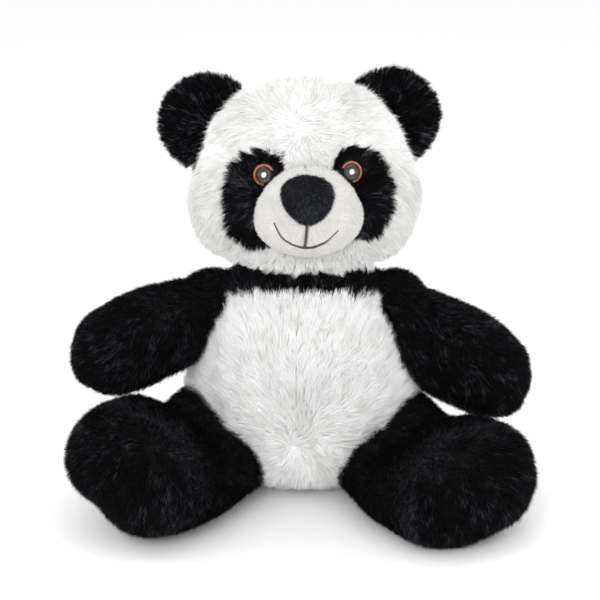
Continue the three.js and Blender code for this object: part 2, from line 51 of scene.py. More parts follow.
# ------------------------------------------------------------ camera, floor and lights
CAMERA_ELEVATION = math.radians(16)
CAMERA_DISTANCE = 1.1
CAMERA_TARGET = Vector((0, 0, 0.111))
CAMERA_SHIFT = -0.005
SENSOR_WIDTH = 36
MM_PER_FRAME = 375.0  # what the frame's width covers at the target
LIGHTS = (  # name, place, size and power
    ("key", (-0.35, -1.35, 0.75), 0.9, 8),
    ("fill", (0.9, -1.15, 0.5), 1.1, 3),
    ("top", (0.05, 0.25, 1.5), 1.0, 3),
    ("rim_left", (-1.1, 0.7, 0.7), 0.7, 4),
    ("rim_right", (1.1, 0.7, 0.7), 0.7, 4),
)


def make_camera():
    data = bpy.data.cameras.new("camera")
    data.sensor_width = SENSOR_WIDTH
    data.lens = SENSOR_WIDTH * CAMERA_DISTANCE / (MM_PER_FRAME * MM)
    data.shift_x = CAMERA_SHIFT
    camera = add_object("camera", data)
    back = Vector((0, -math.cos(CAMERA_ELEVATION), math.sin(CAMERA_ELEVATION)))
    camera.location = CAMERA_TARGET + back * CAMERA_DISTANCE
    camera.rotation_euler = (-back).to_track_quat("-Z", "Y").to_euler()
    bpy.context.scene.camera = camera


def make_light(name, place, size, power):
    data = bpy.data.lights.new(name, "AREA")
    data.shape = "DISK"
    data.size = size
    data.energy = power
    light = add_object(name, data)
    light.location = place
    light.rotation_euler = (CAMERA_TARGET - Vector(place)).to_track_quat("-Z", "Y").to_euler()


def make_stage():
    bpy.ops.mesh.primitive_plane_add(size=8, location=(0, 0, 0))
    floor = bpy.context.object
    floor.name = "floor"
    floor.data.materials.append(new_material("floor", (0.95, 0.95, 0.95), 0.9))
    world = bpy.data.worlds.new("studio")
    world.use_nodes = True
    set_inputs(world.node_tree.nodes["Background"], {"Color": (1, 1, 1, 1), "Strength": 1.0})
    bpy.context.scene.world = world
    bpy.context.scene.view_settings.view_transform = "Standard"
    for light in LIGHTS:
        make_light(*light)


# ------------------------------------------------------------ numbers shared with the CAD, in mm
TORSO_PROFILE = [
    (57, 5), (67.5, 20), (71, 42), (70.5, 62), (67, 84),
    (60.5, 102), (52.5, 117), (43, 128), (29, 135.6), (14, 138.6),
]
TORSO_TOP = 139.2
SEAT_RADIUS = 40
SEAT_EDGE = (50, 2.2)  # radius and height where the seat turns up
TORSO_DEPTH = 0.78
TORSO_FORWARD = 5.5
YOKE_HEIGHT = 116
YOKE_SLOPE = 0.16
NECK = np.array([0, -4, 140.0])
HEAD_CENTRE = np.array([1.5, -10, 187.0])
HEAD_SIZE = (67.5, 51, 63.5, 47)  # half-width, half-depth, above and below the centre
HEAD_YAW = math.radians(3)
HEAD_ROLL = math.radians(-1.4)
GUSSET_HALF_WIDTH = 19
NAPE = 16
EYE_PATCH = np.array([
    (11, 8), (13.5, 19), (17, 27.5), (25, 32), (35, 29), (43, 21.5), (47.5, 9),
    (48.8, -4), (46.5, -16), (40, -24), (31, -27), (20, -26.5), (12, -20),
], float)
EYE = (25.1, 16.8)
EYE_RING = 5.6
EYE_RING_WIDTH = 1.25
EYE_PUPIL = 4.5
EYE_HIGHLIGHT = 1.55
EYE_ARC = (-88, 152)  # the open ring's ends, in degrees
EYE_STITCHES = 84
STITCH_PITCH = 0.36
MUZZLE_SIZE = (31, 36, 27)  # half-width, reach, half-height
MUZZLE_Z = -5
MUZZLE_FORWARD = 41
MUZZLE_TAPER = 0.16
MUZZLE_WHORL = np.array([-1.2, -75, 4.0])
MUZZLE_BACK = -22  # where the muzzle ends inside the head
NOSE = (-1.5, 6, 14.3, 12.4)  # centre x, centre z, half-width, half-height
PHILTRUM = [(-2.6, -6.5), (-3.2, -14), (-4, -22)]
SMILE = [(-21.2, -6.8), (-15.5, -16.5), (-4, -22), (6, -19.6), (15.4, -11.7)]
THREAD_TWIST = 2.4  # length of one turn of the mouth's plies
EAR_ROOT = (51, -5, 223)
EAR_LEAN = math.radians(54)
EAR_RADIUS = 27.5
EAR_RISE = 4.5
EAR_HALF_THICKNESS = 7.2
EAR_HOLLOW = 3.2
EAR_FOOT = -6
ARM_PIVOT = (57, -11, 111)
ARM_LENGTH = 96
ARM_RADII = [(0, 22), (14, 23), (30, 25.6), (48, 27.6), (65, 27.2), (80, 23.6), (90, 15.5)]
ARM_DEPTH = 0.84
ARM_AIM = {1: (33.5, 15), -1: (17, 28)}  # drop and forward, in degrees
ARM_UNDER = {1: (6.2, 30, 26), -1: (3.6, 22, 18)}  # fullness below: depth, place and spread
LEG_PIVOT = (45, -15, 31)
LEG_LENGTH = 134
LEG_RADII = [
    (0, 28.5), (22, 30), (44, 32.5), (66, 37), (88, 39.5), (106, 38.5), (121, 32.5), (130, 20),
]
LEG_WIDTH = 1.07
LEG_INSTEP = (13, 50, 16)  # depth, place along the leg and spread
LEG_DIP = {1: (11, 10, 38), -1: (8.5, 2, 24)}  # depth, and where it fades towards the outer side
LEG_TRIM = {1: (6, -76, 32), -1: (10, -58, 38)}  # depth, and its angle and spread round the foot
FOOT_RADIUS = 38
LEG_LEAN = (0.62, 0.32)  # how far the inner side leans inward per mm of drop, at thigh and foot
LEG_LEAN_SHARE = {1: 1.32, -1: 1.14}
LEG_LEAN_SPAN = (2, 18, 40, 96)  # where the lean starts, is full, fades and ends
LEG_AIM = {1: (28.5, 1), -1: (30.5, 5)}  # splay and rise, in degrees
SOLE_START = 105
LEG_PANELS = ("leg_outer", "leg_inner", "sole")
TAIL = (0, 53, 33)
TAIL_RADIUS = 13
SEAM_PITCH = 0.0045  # in m
SHOULDER_BALL = 15
HIP_BALL = 21
NECK_BALL = 24
POUCH_CENTRE = (0, 8, 12)
POUCH_RADIUS = 27
POUCH_HALF_HEIGHT = 6.5

# ------------------------------------------------------------ meshes and pile, in mm
FIBRE_INSET = 3.2
FLOOR_GAP = 0.6
STRAND_FLOOR = 0.3
FAR = 99.0  # stands for a distance that doesn't matter
VOXEL = {  # mesh size of each form
    "head": 2.4, "torso": 2.6, "arm": 2.4, "leg": 2.8, "ear": 1.8, "muzzle": 1.3, "nose": 0.8,
    "pouch": 2.5, "tail": 1.8, "joint": 2.0,
}
DENSITY = {  # strands per mm2
    "head": 4.8, "torso": 4.6, "tail": 4.6, "ear": 3.6, "arm": 3.6, "leg": 3.3, "muzzle": 7.0,
    "nose": 9.0,
}
PILE_LENGTH = {  # before it is trimmed near seams, eyes and floor
    "head": 7.6, "eye_patch": 6.7, "ear": 5.4, "muzzle": 1.9, "nose": 1.7, "belly": 8.8, "yoke": 6.0,
    "tail": 8.5, "limb": 5.6,
}
PILE_LAY = {  # from 0, upright, to 1, flat
    "head": 0.55, "ear_seam": 0.5, "ear": 0.42, "muzzle": 0.5, "nose": 0.36, "belly": 0.58,
    "yoke": 0.5, "tail": 0.5, "arm": 0.38, "leg": 0.40,
}
SHORTEST_SEAM_PILE = 4.5
STYLES = {  # a pile's strand width, clump size, pull to the clump, stray and contrast of shade
    "head": (0.30, 2.3, 0.28, 0.19, 0.6),
    "chin": (0.32, 4.6, 0.72, 0.12, 0.8),
    "eye_patch": (0.30, 2.5, 0.5, 0.19, 1.0),
    "ear_seam": (0.34, 2.4, 0.34, 0.19, 1.0),
    "ear": (0.38, 2.6, 0.45, 0.13, 1.0),
    "muzzle": (0.34, 1.5, 0.35, 0.16, 1.0),
    "nose": (0.26, 1.1, 0.4, 0.24, 1.0),
    "belly": (0.30, 4.2, 0.5, 0.19, 0.95),
    "yoke": (0.30, 2.6, 0.4, 0.19, 1.0),
    "tail": (0.34, 3.4, 0.5, 0.14, 0.8),
    "limb": (0.31, 2.2, 0.32, 0.2, 1.0),
}


# ------------------------------------------------------------ small vector helpers
def unit(v):
    return v / np.maximum(np.linalg.norm(v, axis=-1, keepdims=True), 1e-9)


def smooth(x, low, high):
    """Rises from 0 to 1 between low and high."""
    t = np.clip((x - low) / (high - low), 0, 1)
    return t * t * (3 - 2 * t)


def bump(x, centre, spread):
    """A bell of height 1 round a centre."""
    return np.exp(-(((x - centre) / spread) ** 2))


def vectors(x, y, z):
    return np.stack(np.broadcast_arrays(x, y, z), -1)


def tangent(v, n):
    """The part of v that lies in the surface."""
    return v - n * (v * n).sum(-1, keepdims=True)


def cell_key(ix, iy, iz):
    """A whole number that tells lattice cells apart."""
    return (ix * 73856093) ^ (iy * 19349663) ^ (iz * 83492791)


def lattice(ix, iy, iz, seed):
    """A random value from -1 to 1 for each lattice point."""
    h = cell_key(ix, iy, iz) ^ (seed * 2654435761)
    h = (h ^ (h >> 13)) * 1274126177
    h = h ^ (h >> 16)
    return (h & 0xFFFF) / 32767.5 - 1


def noise(p, scale, seed=0):
    """Smooth value noise from -1 to 1 over points in mm."""
    q = np.asarray(p, float) / scale + 1000
    i = np.floor(q).astype(np.int64)
    f = q - i
    f = f * f * (3 - 2 * f)
    total = 0
    for dx in (0, 1):
        for dy in (0, 1):
            for dz in (0, 1):
                weight = (
                    (f[..., 0] if dx else 1 - f[..., 0])
                    * (f[..., 1] if dy else 1 - f[..., 1])
                    * (f[..., 2] if dz else 1 - f[..., 2])
                )
                total = total + weight * lattice(i[..., 0] + dx, i[..., 1] + dy, i[..., 2] + dz, seed)
    return total


def noise3(p, scale, seed=0):
    return np.stack([noise(p, scale, seed + k) for k in (11, 23, 37)], -1)


def catmull(points, count):
    """A smooth open curve through points, as count points."""
    p = np.asarray(points, float)
    p = np.vstack([2 * p[0] - p[1], p, 2 * p[-1] - p[-2]])
    t = np.linspace(0, len(p) - 3 - 1e-9, count)
    i = t.astype(int)
    f = (t - i)[:, None]
    a, b, c, d = p[i], p[i + 1], p[i + 2], p[i + 3]
    square, cube = 2 * a - 5 * b + 4 * c - d, 3 * b - a - 3 * c + d
    return 0.5 * (2 * b + (c - a) * f + square * f**2 + cube * f**3)


def line_gap(x, z, line):
    """How far points are from a line of x and z points, seen from the front."""
    gap = np.full(len(x), FAR)
    for line_x, line_z in line:
        gap = np.minimum(gap, np.hypot(x - line_x, z - line_z))
    return gap


def move(m, p):
    """Points under a 4 x 4 matrix."""
    return p @ m[:3, :3].T + m[:3, 3]


def turn(m, v):
    """Directions under a 4 x 4 matrix."""
    return v @ m[:3, :3].T


HEAD = np.array(
    Matrix.Translation(NECK)
    @ Matrix.Rotation(HEAD_YAW, 4, "Z")
    @ Matrix.Rotation(HEAD_ROLL, 4, "Y")
    @ Matrix.Translation(HEAD_CENTRE - NECK)
)
HEAD_BACK = np.linalg.inv(HEAD)


def limb_frame(pivot, direction):
    """Local axes of a limb: X across it, Y along it and Z over it."""
    across = unit(np.cross(direction, (0, 0, 1)))
    over = np.cross(across, direction)
    m = np.eye(4)
    m[:3, 0], m[:3, 1], m[:3, 2], m[:3, 3] = across, direction, over, pivot
    return m


def arm_direction(side):
    drop, forward = (math.radians(a) for a in ARM_AIM[side])
    level = math.cos(drop)
    return np.array([side * level * math.cos(forward), -level * math.sin(forward), -math.sin(drop)])


def leg_direction(side):
    splay, rise = (math.radians(a) for a in LEG_AIM[side])
    level = math.cos(rise)
    return np.array([side * level * math.sin(splay), -level * math.cos(splay), math.sin(rise)])


def at_side(point, side):
    """A point given for the left side, on either side."""
    return np.array([point[0] * side, point[1], point[2]], float)


# ------------------------------------------------------------ base forms
class Form:
    """A closed triangle mesh in mm: points, triangles and smooth normals."""

    def __init__(self, points, triangles):
        self.points = np.asarray(points, float)
        self.triangles = np.asarray(triangles, int)
        self.refresh()

    def refresh(self):
        a, b, c = (self.points[self.triangles[:, i]] for i in range(3))
        self.face_normals = np.cross(b - a, c - a)
        normals = np.zeros_like(self.points)
        for i in range(3):
            np.add.at(normals, self.triangles[:, i], self.face_normals)
        self.normals = unit(normals)
        self.areas = np.linalg.norm(self.face_normals, axis=1) / 2

    def displace(self, amount):
        self.points = self.points + self.normals * np.asarray(amount)[:, None]
        self.refresh()

    def centres(self):
        return self.points[self.triangles].mean(1)

    def rest_on_floor(self):
        self.points[:, 2] = np.maximum(self.points[:, 2], FLOOR_GAP)
        self.refresh()


def add_object(name, data, materials=()):
    """Puts a mesh, light or camera in the scene."""
    for material in materials:
        data.materials.append(material)
    thing = bpy.data.objects.new(name, data)
    bpy.context.scene.collection.objects.link(thing)
    return thing


def mesh_object(name, points, faces, materials=(), shades=None):
    """An object from points in mm and faces, smooth shaded."""
    mesh = bpy.data.meshes.new(name)
    faces = [[int(i) for i in face] for face in faces]
    mesh.from_pydata((np.asarray(points) * MM).tolist(), [], faces)
    mesh.polygons.foreach_set("use_smooth", np.ones(len(faces), bool))
    if shades is not None:
        mesh.polygons.foreach_set("material_index", np.asarray(shades, np.int32))
    mesh.update()
    return add_object(name, mesh, materials)


def lathe(profile, around):
    """A closed lathe about Z from (radius, height) points whose two ends lie on the axis."""
    profile = np.asarray(profile, float)
    inner = profile[1:-1]
    angle = np.arange(around) * 2 * math.pi / around
    ring = np.stack([np.cos(angle), np.sin(angle)], -1)
    points = [[0, 0, profile[0, 1]]]
    for radius, height in inner:
        points += [[radius * x, radius * y, height] for x, y in ring]
    points.append([0, 0, profile[-1, 1]])
    faces = []
    nxt = np.roll(np.arange(around), -1)
    last = 1 + (len(inner) - 1) * around
    for i in range(around):
        faces.append([0, 1 + nxt[i], 1 + i])
        faces.append([len(points) - 1, last + i, last + nxt[i]])
    for row in range(len(inner) - 1):
        base = 1 + row * around
        for i in range(around):
            a, b = base + i, base + nxt[i]
            faces += [[a, b, b + around], [a, b + around, a + around]]
    return np.array(points, float), faces


def remeshed(points, faces, voxel, relax=6):
    """The same closed shape with an even mesh."""
    thing = mesh_object("form", points, faces)
    remesh = thing.modifiers.new("remesh", "REMESH")
    remesh.mode = "VOXEL"
    remesh.voxel_size = voxel * MM
    even = thing.modifiers.new("even", "SMOOTH")
    even.factor = 0.5
    even.iterations = relax
    triangulate = thing.modifiers.new("triangulate", "TRIANGULATE")
    triangulate.quad_method = "SHORTEST_DIAGONAL"
    evaluated = thing.evaluated_get(bpy.context.evaluated_depsgraph_get())
    mesh = evaluated.to_mesh()
    mesh.calc_loop_triangles()
    co = np.zeros(len(mesh.vertices) * 3, np.float32)
    mesh.vertices.foreach_get("co", co)
    tri = np.zeros(len(mesh.loop_triangles) * 3, np.int32)
    mesh.loop_triangles.foreach_get("vertices", tri)
    evaluated.to_mesh_clear()
    bpy.data.objects.remove(thing)
    return Form(co.reshape(-1, 3) / MM, tri.reshape(-1, 3))


def head_reach(direction, inset=0.0):
    """How far the head's surface is from its centre along unit directions."""
    size_x, size_y, above, below = HEAD_SIZE
    high = np.where(direction[:, 2] > 0, above, below) - inset
    power = 2.5 - 0.5 * direction[:, 2]
    near = np.zeros(len(direction))
    far = np.full(len(direction), 140.0)
    for _ in range(26):
        mid = (near + far) / 2
        q = np.abs(direction * mid[:, None])
        excess = (
            (q[:, 0] / (size_x - inset)) ** power
            + (q[:, 1] / (size_y - inset)) ** 2.3
            + (q[:, 2] / high) ** power
            - 1
        )
        far = np.where(excess > 0, mid, far)
        near = np.where(excess > 0, near, mid)
    return near


def on_face(x, z):
    """The head's front surface at local x, z."""
    near, far = 0.0, float(HEAD_SIZE[1])
    for _ in range(30):
        y = (near + far) / 2
        p = np.array([[x, -y, z]], float)
        if np.linalg.norm(p) > head_reach(unit(p))[0]:
            far = y
        else:
            near = y
    return np.array([x, -near, z])


def face_normal(x, z):
    across = on_face(x + 1, z) - on_face(x - 1, z)
    up = on_face(x, z + 1) - on_face(x, z - 1)
    return unit(np.cross(across, up))


def on_muzzle(x, z, proud=0.0):
    """The muzzle's front surface at local x, z, some mm outside its cloth."""
    half_width, reach, half_height = (s + proud for s in MUZZLE_SIZE)
    x, z = np.asarray(x, float), np.asarray(z, float)
    high = (z - MUZZLE_Z) / half_height
    wide = x / (half_width * (1 - MUZZLE_TAPER * high))
    deep = np.sqrt(np.maximum(1 - high**2 - wide**2, 0))
    return np.stack([x, -MUZZLE_FORWARD - reach * deep, z], -1)


def sphere_points(rows, around):
    angle = np.linspace(0, math.pi, rows)
    return lathe(np.stack([np.sin(angle), -np.cos(angle)], -1), around)


def along_y(points, faces):
    """Lays a lathe's axis from Z over to Y."""
    return points[:, [0, 2, 1]], [face[::-1] for face in faces]


def head_form():
    points, faces = sphere_points(60, 110)
    points = unit(points) * head_reach(unit(points), 1.0)[:, None]
    form = remeshed(points, faces, VOXEL["head"])
    x, y, z = form.points.T
    out = np.abs(x)
    lumps = 0.9 * noise(form.points, 26, 3) + 0.45 * noise(form.points, 11, 5)
    seam = -1.1 * bump(out, GUSSET_HALF_WIDTH, 2.2) * smooth(z, 20, 36)
    cheeks = 1.6 * np.exp(-(((out - 52) / 18) ** 2 + ((z + 14) / 20) ** 2)) * (y < 20)
    tuck = -5.0 * bump(z, 26, 14) * bump(y, -8, 16) * smooth(out, 30, 50)
    brow = 2.6 * bump(z, 55, 10) * bump(y, -6, 14) * bump(out, 35, 10)
    form.displace(lumps + seam + cheeks + tuck + brow)
    return form


def torso_form():
    seat = [(0, 0.8), (SEAT_RADIUS * 0.5, 0.8), (SEAT_RADIUS, 0.8), SEAT_EDGE]
    trunk = catmull([SEAT_EDGE, *[(r - 1, z) for r, z in TORSO_PROFILE]], 70)[1:]
    points, faces = lathe([*seat, *trunk, (0, TORSO_TOP - 1)], 120)
    points[:, 1] = points[:, 1] * TORSO_DEPTH - TORSO_FORWARD
    form = remeshed(points, faces, VOXEL["torso"])
    x, y, z = form.points.T
    front = smooth(-y, 0, 30)
    lumps = 1.2 * noise(form.points, 30, 8) + 0.5 * noise(form.points, 12, 9)
    belly = 2.2 * front * bump(z, 52, 34)
    waist = -1.6 * bump(z, 112, 9) * front
    spine = -1.2 * bump(x, 0, 2.4) * smooth(y, 10, 30)
    form.displace((lumps + belly + waist + spine) * smooth(z, 0.5, 9))
    x, y, z = form.points.T
    y += 9 * (1 - smooth(z, 2, 17)) * smooth(-y, 8, 34)
    form.rest_on_floor()
    return form


def limb_profile(radii, length, inset):
    """A limb's lathe from its round root to its tip, as radii and distances along it."""
    root = radii[0][1] - inset
    cap = [(0, -root)]
    cap += [(root * math.cos(a), -root * math.sin(a)) for a in np.radians([75, 60, 45, 30, 15])]
    body = [(radius - inset, along) for along, radius in radii]
    last_along, last_radius = radii[-1]
    tip = (last_radius * 0.55 - inset / 2, (last_along + length) / 2 + 1.2)
    return [*catmull([*cap, *body, tip], 90), (0, length - inset)]


def limb_wrinkles(along, angle, p, seed):
    """Soft lumps and folds of a stuffed tube: along is the distance from the pivot."""
    lumps = 1.1 * noise(p, 24, seed) + 0.55 * noise(p, 10, seed + 1)
    folds = -1.3 * bump(along - 6 - 3 * np.sin(angle), 0, 4.0)
    return lumps + folds


def arm_form(side):
    points, faces = along_y(*lathe(limb_profile(ARM_RADII, ARM_LENGTH, 1.0), 72))
    m = limb_frame(at_side(ARM_PIVOT, side), arm_direction(side))
    form = remeshed(move(m, points * [ARM_DEPTH, 1, 1]), faces, VOXEL["arm"])
    form.frame = m
    x, along, z = move(np.linalg.inv(m), form.points).T
    angle = np.arctan2(z, x)
    seam = -0.9 * bump(x, 0, 2.0) * smooth(along, 0, 20)
    below = smooth(-np.sin(angle), 0, 0.8)
    depth, place, spread = ARM_UNDER[side]
    under = below * (depth * bump(along, place, spread))
    tip = smooth(along, 70, 92) * (1.4 * below if side > 0 else -2.3)
    shoulder = -2.8 * smooth(np.sin(angle), 0, 0.8) * bump(along, 9, 16) * (side > 0)
    form.displace(limb_wrinkles(along, angle, form.points, 40 + side) + seam + under + tip + shoulder)
    return form


def trodden(p, side):
    """Lowers a leg's instep and the inner top of its foot, and rounds the foot off below."""
    p = p.copy()
    outward, along = -side * p[:, 0], p[:, 1]
    depth, place, spread = LEG_TRIM[side]
    angle = np.degrees(np.arctan2(p[:, 2], outward))
    cut = depth / FOOT_RADIUS * bump(angle, place, spread) * smooth(along, 56, 90)
    p[:, 0] *= 1 - cut
    p[:, 2] *= 1 - cut
    up = smooth(p[:, 2] / np.maximum(np.hypot(p[:, 0], p[:, 2]), 1e-6), -0.1, 0.8)
    depth, start, end = LEG_DIP[side]
    foot = depth * smooth(along, 50, 70) * (1 - 0.55 * smooth(along, 94, 124))
    instep, place, spread = LEG_INSTEP
    p[:, 2] -= up * (instep * bump(along, place, spread) + foot * (1 - smooth(outward, start, end)))
    return p


def leg_form(side):
    points, faces = along_y(*lathe(limb_profile(LEG_RADII, LEG_LENGTH, 1.0), 84))
    x, along, z = points.T
    start, full, fade, gone = LEG_LEAN_SPAN
    at_thigh, at_foot = LEG_LEAN
    ended = smooth(along, fade, gone)
    slope = at_thigh * (1 - ended) + np.where(z < 0, at_foot, 0) * ended
    inward = 0.5 + 0.5 * side * x / np.maximum(np.hypot(x, z), 1e-6)
    lean = side * z * smooth(along, start, full) * inward * slope
    points[:, 0] = x * LEG_WIDTH - lean * LEG_LEAN_SHARE[side]
    m = limb_frame(at_side(LEG_PIVOT, side), leg_direction(side))
    world = move(m, trodden(points, side))
    world[:, 2] = np.maximum(world[:, 2], 0.8)
    form = remeshed(world, faces, VOXEL["leg"])
    form.frame = m
    x, along, z = move(np.linalg.inv(m), form.points).T
    sole = -0.6 * bump(along, SOLE_START, 2.2)
    hollow = -0.8 * bump(np.hypot(x, z), 0, 20) * smooth(along, 110, 128)
    change = limb_wrinkles(along, np.arctan2(z, x), form.points, 60 + side) + sole + hollow
    form.displace(change * smooth(form.points[:, 2], 0.5, 8))
    form.rest_on_floor()
    return form


def ear_frame(side):
    """Local axes of an ear: X along its seam, Y to the back, Z away from the head."""
    level, rise = math.cos(EAR_LEAN), math.sin(EAR_LEAN)
    m = np.eye(4)
    m[:3, 0] = (level, 0, -side * rise)
    m[:3, 2] = (side * rise, 0, level)
    m[:3, 3] = at_side(EAR_ROOT, side) - HEAD_CENTRE
    return HEAD @ m


def ear_form(side):
    points, faces = along_y(*sphere_points(44, 80))
    rim = np.hypot(points[:, 0], points[:, 2])
    radius = EAR_RADIUS - 0.5
    points = points * [radius, EAR_HALF_THICKNESS, radius] + [0, 0, EAR_RISE]
    points[:, 1] += EAR_HOLLOW * (1 - np.clip(rim, 0, 1) ** 2) * (points[:, 1] < 0)
    points[:, 2] = np.maximum(points[:, 2], EAR_FOOT)
    m = ear_frame(side)
    form = remeshed(move(m, points), faces, VOXEL["ear"], relax=3)
    form.displace(0.6 * noise(form.points, 12, 70 + side))
    form.frame = m
    return form


def muzzle_form():
    points, faces = sphere_points(50, 90)
    half_width, reach, half_height = MUZZLE_SIZE
    x, y, z = points.T
    y = np.minimum(y * reach - MUZZLE_FORWARD, MUZZLE_BACK)
    local = vectors(x * half_width * (1 - MUZZLE_TAPER * z), y, z * half_height + MUZZLE_Z)
    form = remeshed(local, faces, VOXEL["muzzle"], relax=4)
    x, y, z = form.points.T
    seam = -0.9 * bump(x, -1.5, 1.3) * smooth(z, 14, 19)
    gap = np.minimum(line_gap(x, z, catmull(SMILE, 40)), line_gap(x, z, catmull(PHILTRUM, 12)))
    dent = -0.8 * bump(gap, 0, 1.7) * (y < -50)
    puff = 0.9 * np.exp(-(((np.abs(x + 2) - 13) / 9) ** 2 + ((z + 10) / 9) ** 2))
    form.displace(seam + dent + puff + 0.25 * noise(form.points, 9, 15))
    return form


def nose_outline(angle):
    taper = 1 + 0.22 * np.sin(angle)
    x, z, wide, high = NOSE
    return x + wide * np.cos(angle) * taper, z + high * np.sin(angle)


def nose_form():
    """A low dome over the muzzle and a shallow underside, layer by layer of closed rings."""
    rows, around = 16, 72
    edge_x, edge_z = nose_outline(np.arange(around) * 2 * math.pi / around)
    points, faces = [], []
    for on_top in (True, False):
        for row in range(rows + 1):
            share = row / rows
            x = NOSE[0] + (edge_x - NOSE[0]) * share
            z = NOSE[1] + (edge_z - NOSE[1]) * share
            crown = (1 - share**2.6) ** 0.5 if share < 1 else 0
            points += list(on_muzzle(x, z, 0.6 + 3.4 * crown if on_top else 0.6 - 1.2 * crown))
    nxt = np.roll(np.arange(around), -1)
    for layer in (0, 1):
        for row in range(rows):
            base = (layer * (rows + 1) + row) * around
            for i in range(around):
                a, b = base + i, base + nxt[i]
                quad = [a, b, b + around, a + around]
                faces.append(quad if layer else quad[::-1])
    return remeshed(np.array(points), faces, VOXEL["nose"], relax=2)


def ball_form(centre, radius, voxel, seed, lumps=0.5, scale=(1, 1, 1)):
    points, faces = sphere_points(36, 60)
    form = remeshed(points * radius * scale + centre, faces, voxel, relax=2)
    form.displace(lumps * noise(form.points, 8, seed))
    return form


# ------------------------------------------------------------ materials
# Each pile's shades serve both random variation between strands and painted light and shade, picked
# through each strand's tone
PILE_LOOKS = {  # four shades from dark to light, roughness, sheen and the sheen's tint
    "white_pile": (
        [(0.75, 0.745, 0.735), (0.845, 0.84, 0.83), (0.92, 0.917, 0.91), (0.972, 0.971, 0.968)],
        0.95, 0.15, (1, 1, 1),
    ),
    "black_pile": (
        [(0.001, 0.001, 0.0013), (0.003, 0.0031, 0.0039), (0.01, 0.0104, 0.013), (0.066, 0.068, 0.077)],
        0.62, 0.03, (0.55, 0.58, 0.66),
    ),
    "muzzle_pile": (
        [(0.70, 0.688, 0.672), (0.74, 0.73, 0.716), (0.775, 0.766, 0.753), (0.81, 0.802, 0.79)],
        0.95, 0.15, (1, 1, 1),
    ),
    "nose_pile": (
        [(0.0055, 0.006, 0.0076), (0.012, 0.013, 0.016), (0.026, 0.028, 0.034), (0.062, 0.065, 0.075)],
        0.7, 0.05, (0.6, 0.65, 0.75),
    ),
}
PILE_SPECULAR = 0.05
CLOTH_LOOKS = {  # material name, dark and light colour, roughness, knit density and relief
    "white_pile": ("white_backing", (0.76, 0.745, 0.72), (0.86, 0.85, 0.83), 0.95, 90, 0.5),
    "black_pile": ("black_backing", (0.002, 0.002, 0.003), (0.004, 0.004, 0.005), 0.95, 90, 0.5),
    "muzzle_pile": ("muzzle_backing", (0.70, 0.685, 0.665), (0.84, 0.828, 0.81), 0.95, 160, 0.5),
    "nose_pile": ("nose_backing", (0.003, 0.003, 0.004), (0.006, 0.006, 0.008), 0.95, 160, 0.5),
    "fibre_filling": ("fibre", (0.80, 0.80, 0.79), (0.93, 0.93, 0.92), 1.0, 60, 0.9),
    "pellets": ("pellet_cloth", (0.60, 0.63, 0.66), (0.74, 0.77, 0.80), 0.7, 45, 0.9),
    "label_ribbon": ("ribbon", (0.80, 0.80, 0.80), (0.90, 0.90, 0.90), 0.45, 260, 0.4),
}
THREAD_LOOKS = {  # colours, roughness, sheen and the sheen's tint
    "copper_thread": (
        [(0.52, 0.135, 0.050), (0.36, 0.085, 0.034), (0.19, 0.043, 0.019)], 0.5, 0.3, (1, 0.8, 0.6),
    ),
    "taupe_thread": (
        [(0.105, 0.086, 0.079), (0.052, 0.042, 0.039), (0.013, 0.012, 0.012)], 0.5, 0.1, (1, 1, 1),
    ),
    "white_thread": ([(0.92, 0.92, 0.91), (0.84, 0.84, 0.83)], 0.4, 0.2, (1, 1, 1)),
    "dark_thread": ([(0.062, 0.040, 0.037), (0.038, 0.026, 0.025)], 0.65, 0.1, (1, 1, 1)),
}


def set_inputs(node, values):
    for name, value in values.items():
        node.inputs[name].default_value = value


def new_material(name, colour, roughness, sheen=0.0, sheen_tint=(1, 1, 1), specular=0.5):
    material = bpy.data.materials.new(name)
    material.use_nodes = True
    shader = material.node_tree.nodes["Principled BSDF"]
    surface = {"Base Color": (*colour, 1), "Roughness": roughness, "Specular IOR Level": specular}
    set_inputs(shader, surface)
    if sheen:
        fuzz = {"Sheen Weight": sheen, "Sheen Roughness": 0.5, "Sheen Tint": (*sheen_tint, 1)}
        set_inputs(shader, fuzz)
    return material


def cloth_material(name, dark, light, roughness, scale, depth):
    """A knitted backing: mottled colour and a fine looped relief."""
    material = new_material(name, light, roughness)
    tree = material.node_tree
    nodes, link = tree.nodes, tree.links.new
    shader = nodes["Principled BSDF"]
    place = nodes.new("ShaderNodeTexCoord")
    mottle = nodes.new("ShaderNodeTexNoise")
    set_inputs(mottle, {"Scale": scale * 0.25, "Detail": 4})
    ramp = nodes.new("ShaderNodeValToRGB")
    for stop, position, colour in zip(ramp.color_ramp.elements, (0.3, 0.7), (dark, light)):
        stop.position = position
        stop.color = (*colour, 1)
    loops = nodes.new("ShaderNodeTexVoronoi")
    set_inputs(loops, {"Scale": scale * 3})
    relief = nodes.new("ShaderNodeBump")
    set_inputs(relief, {"Strength": depth, "Distance": 0.0006})
    link(place.outputs["Object"], mottle.inputs["Vector"])
    link(place.outputs["Object"], loops.inputs["Vector"])
    link(mottle.outputs["Fac"], ramp.inputs["Fac"])
    link(ramp.outputs["Color"], shader.inputs["Base Color"])
    link(loops.outputs["Distance"], relief.inputs["Height"])
    link(relief.outputs["Normal"], shader.inputs["Normal"])
    return material


def shaded(looks, specular):
    """A list of materials for each slot, one for each of its shades."""
    return {
        name: [new_material(f"{name}_{i}", colour, *rest, specular) for i, colour in enumerate(colours)]
        for name, (colours, *rest) in looks.items()
    }


# ------------------------------------------------------------ pieces
def declare(thing, body, nodes=()):
    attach(thing, body)
    if nodes:
        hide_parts(*nodes)


def whole_piece(name, form, body, slot, node):
    """A whole form as one closed piece."""
    thing = mesh_object(name, form.points, form.triangles, (CLOTH[slot],))
    declare(thing, body, (node,))


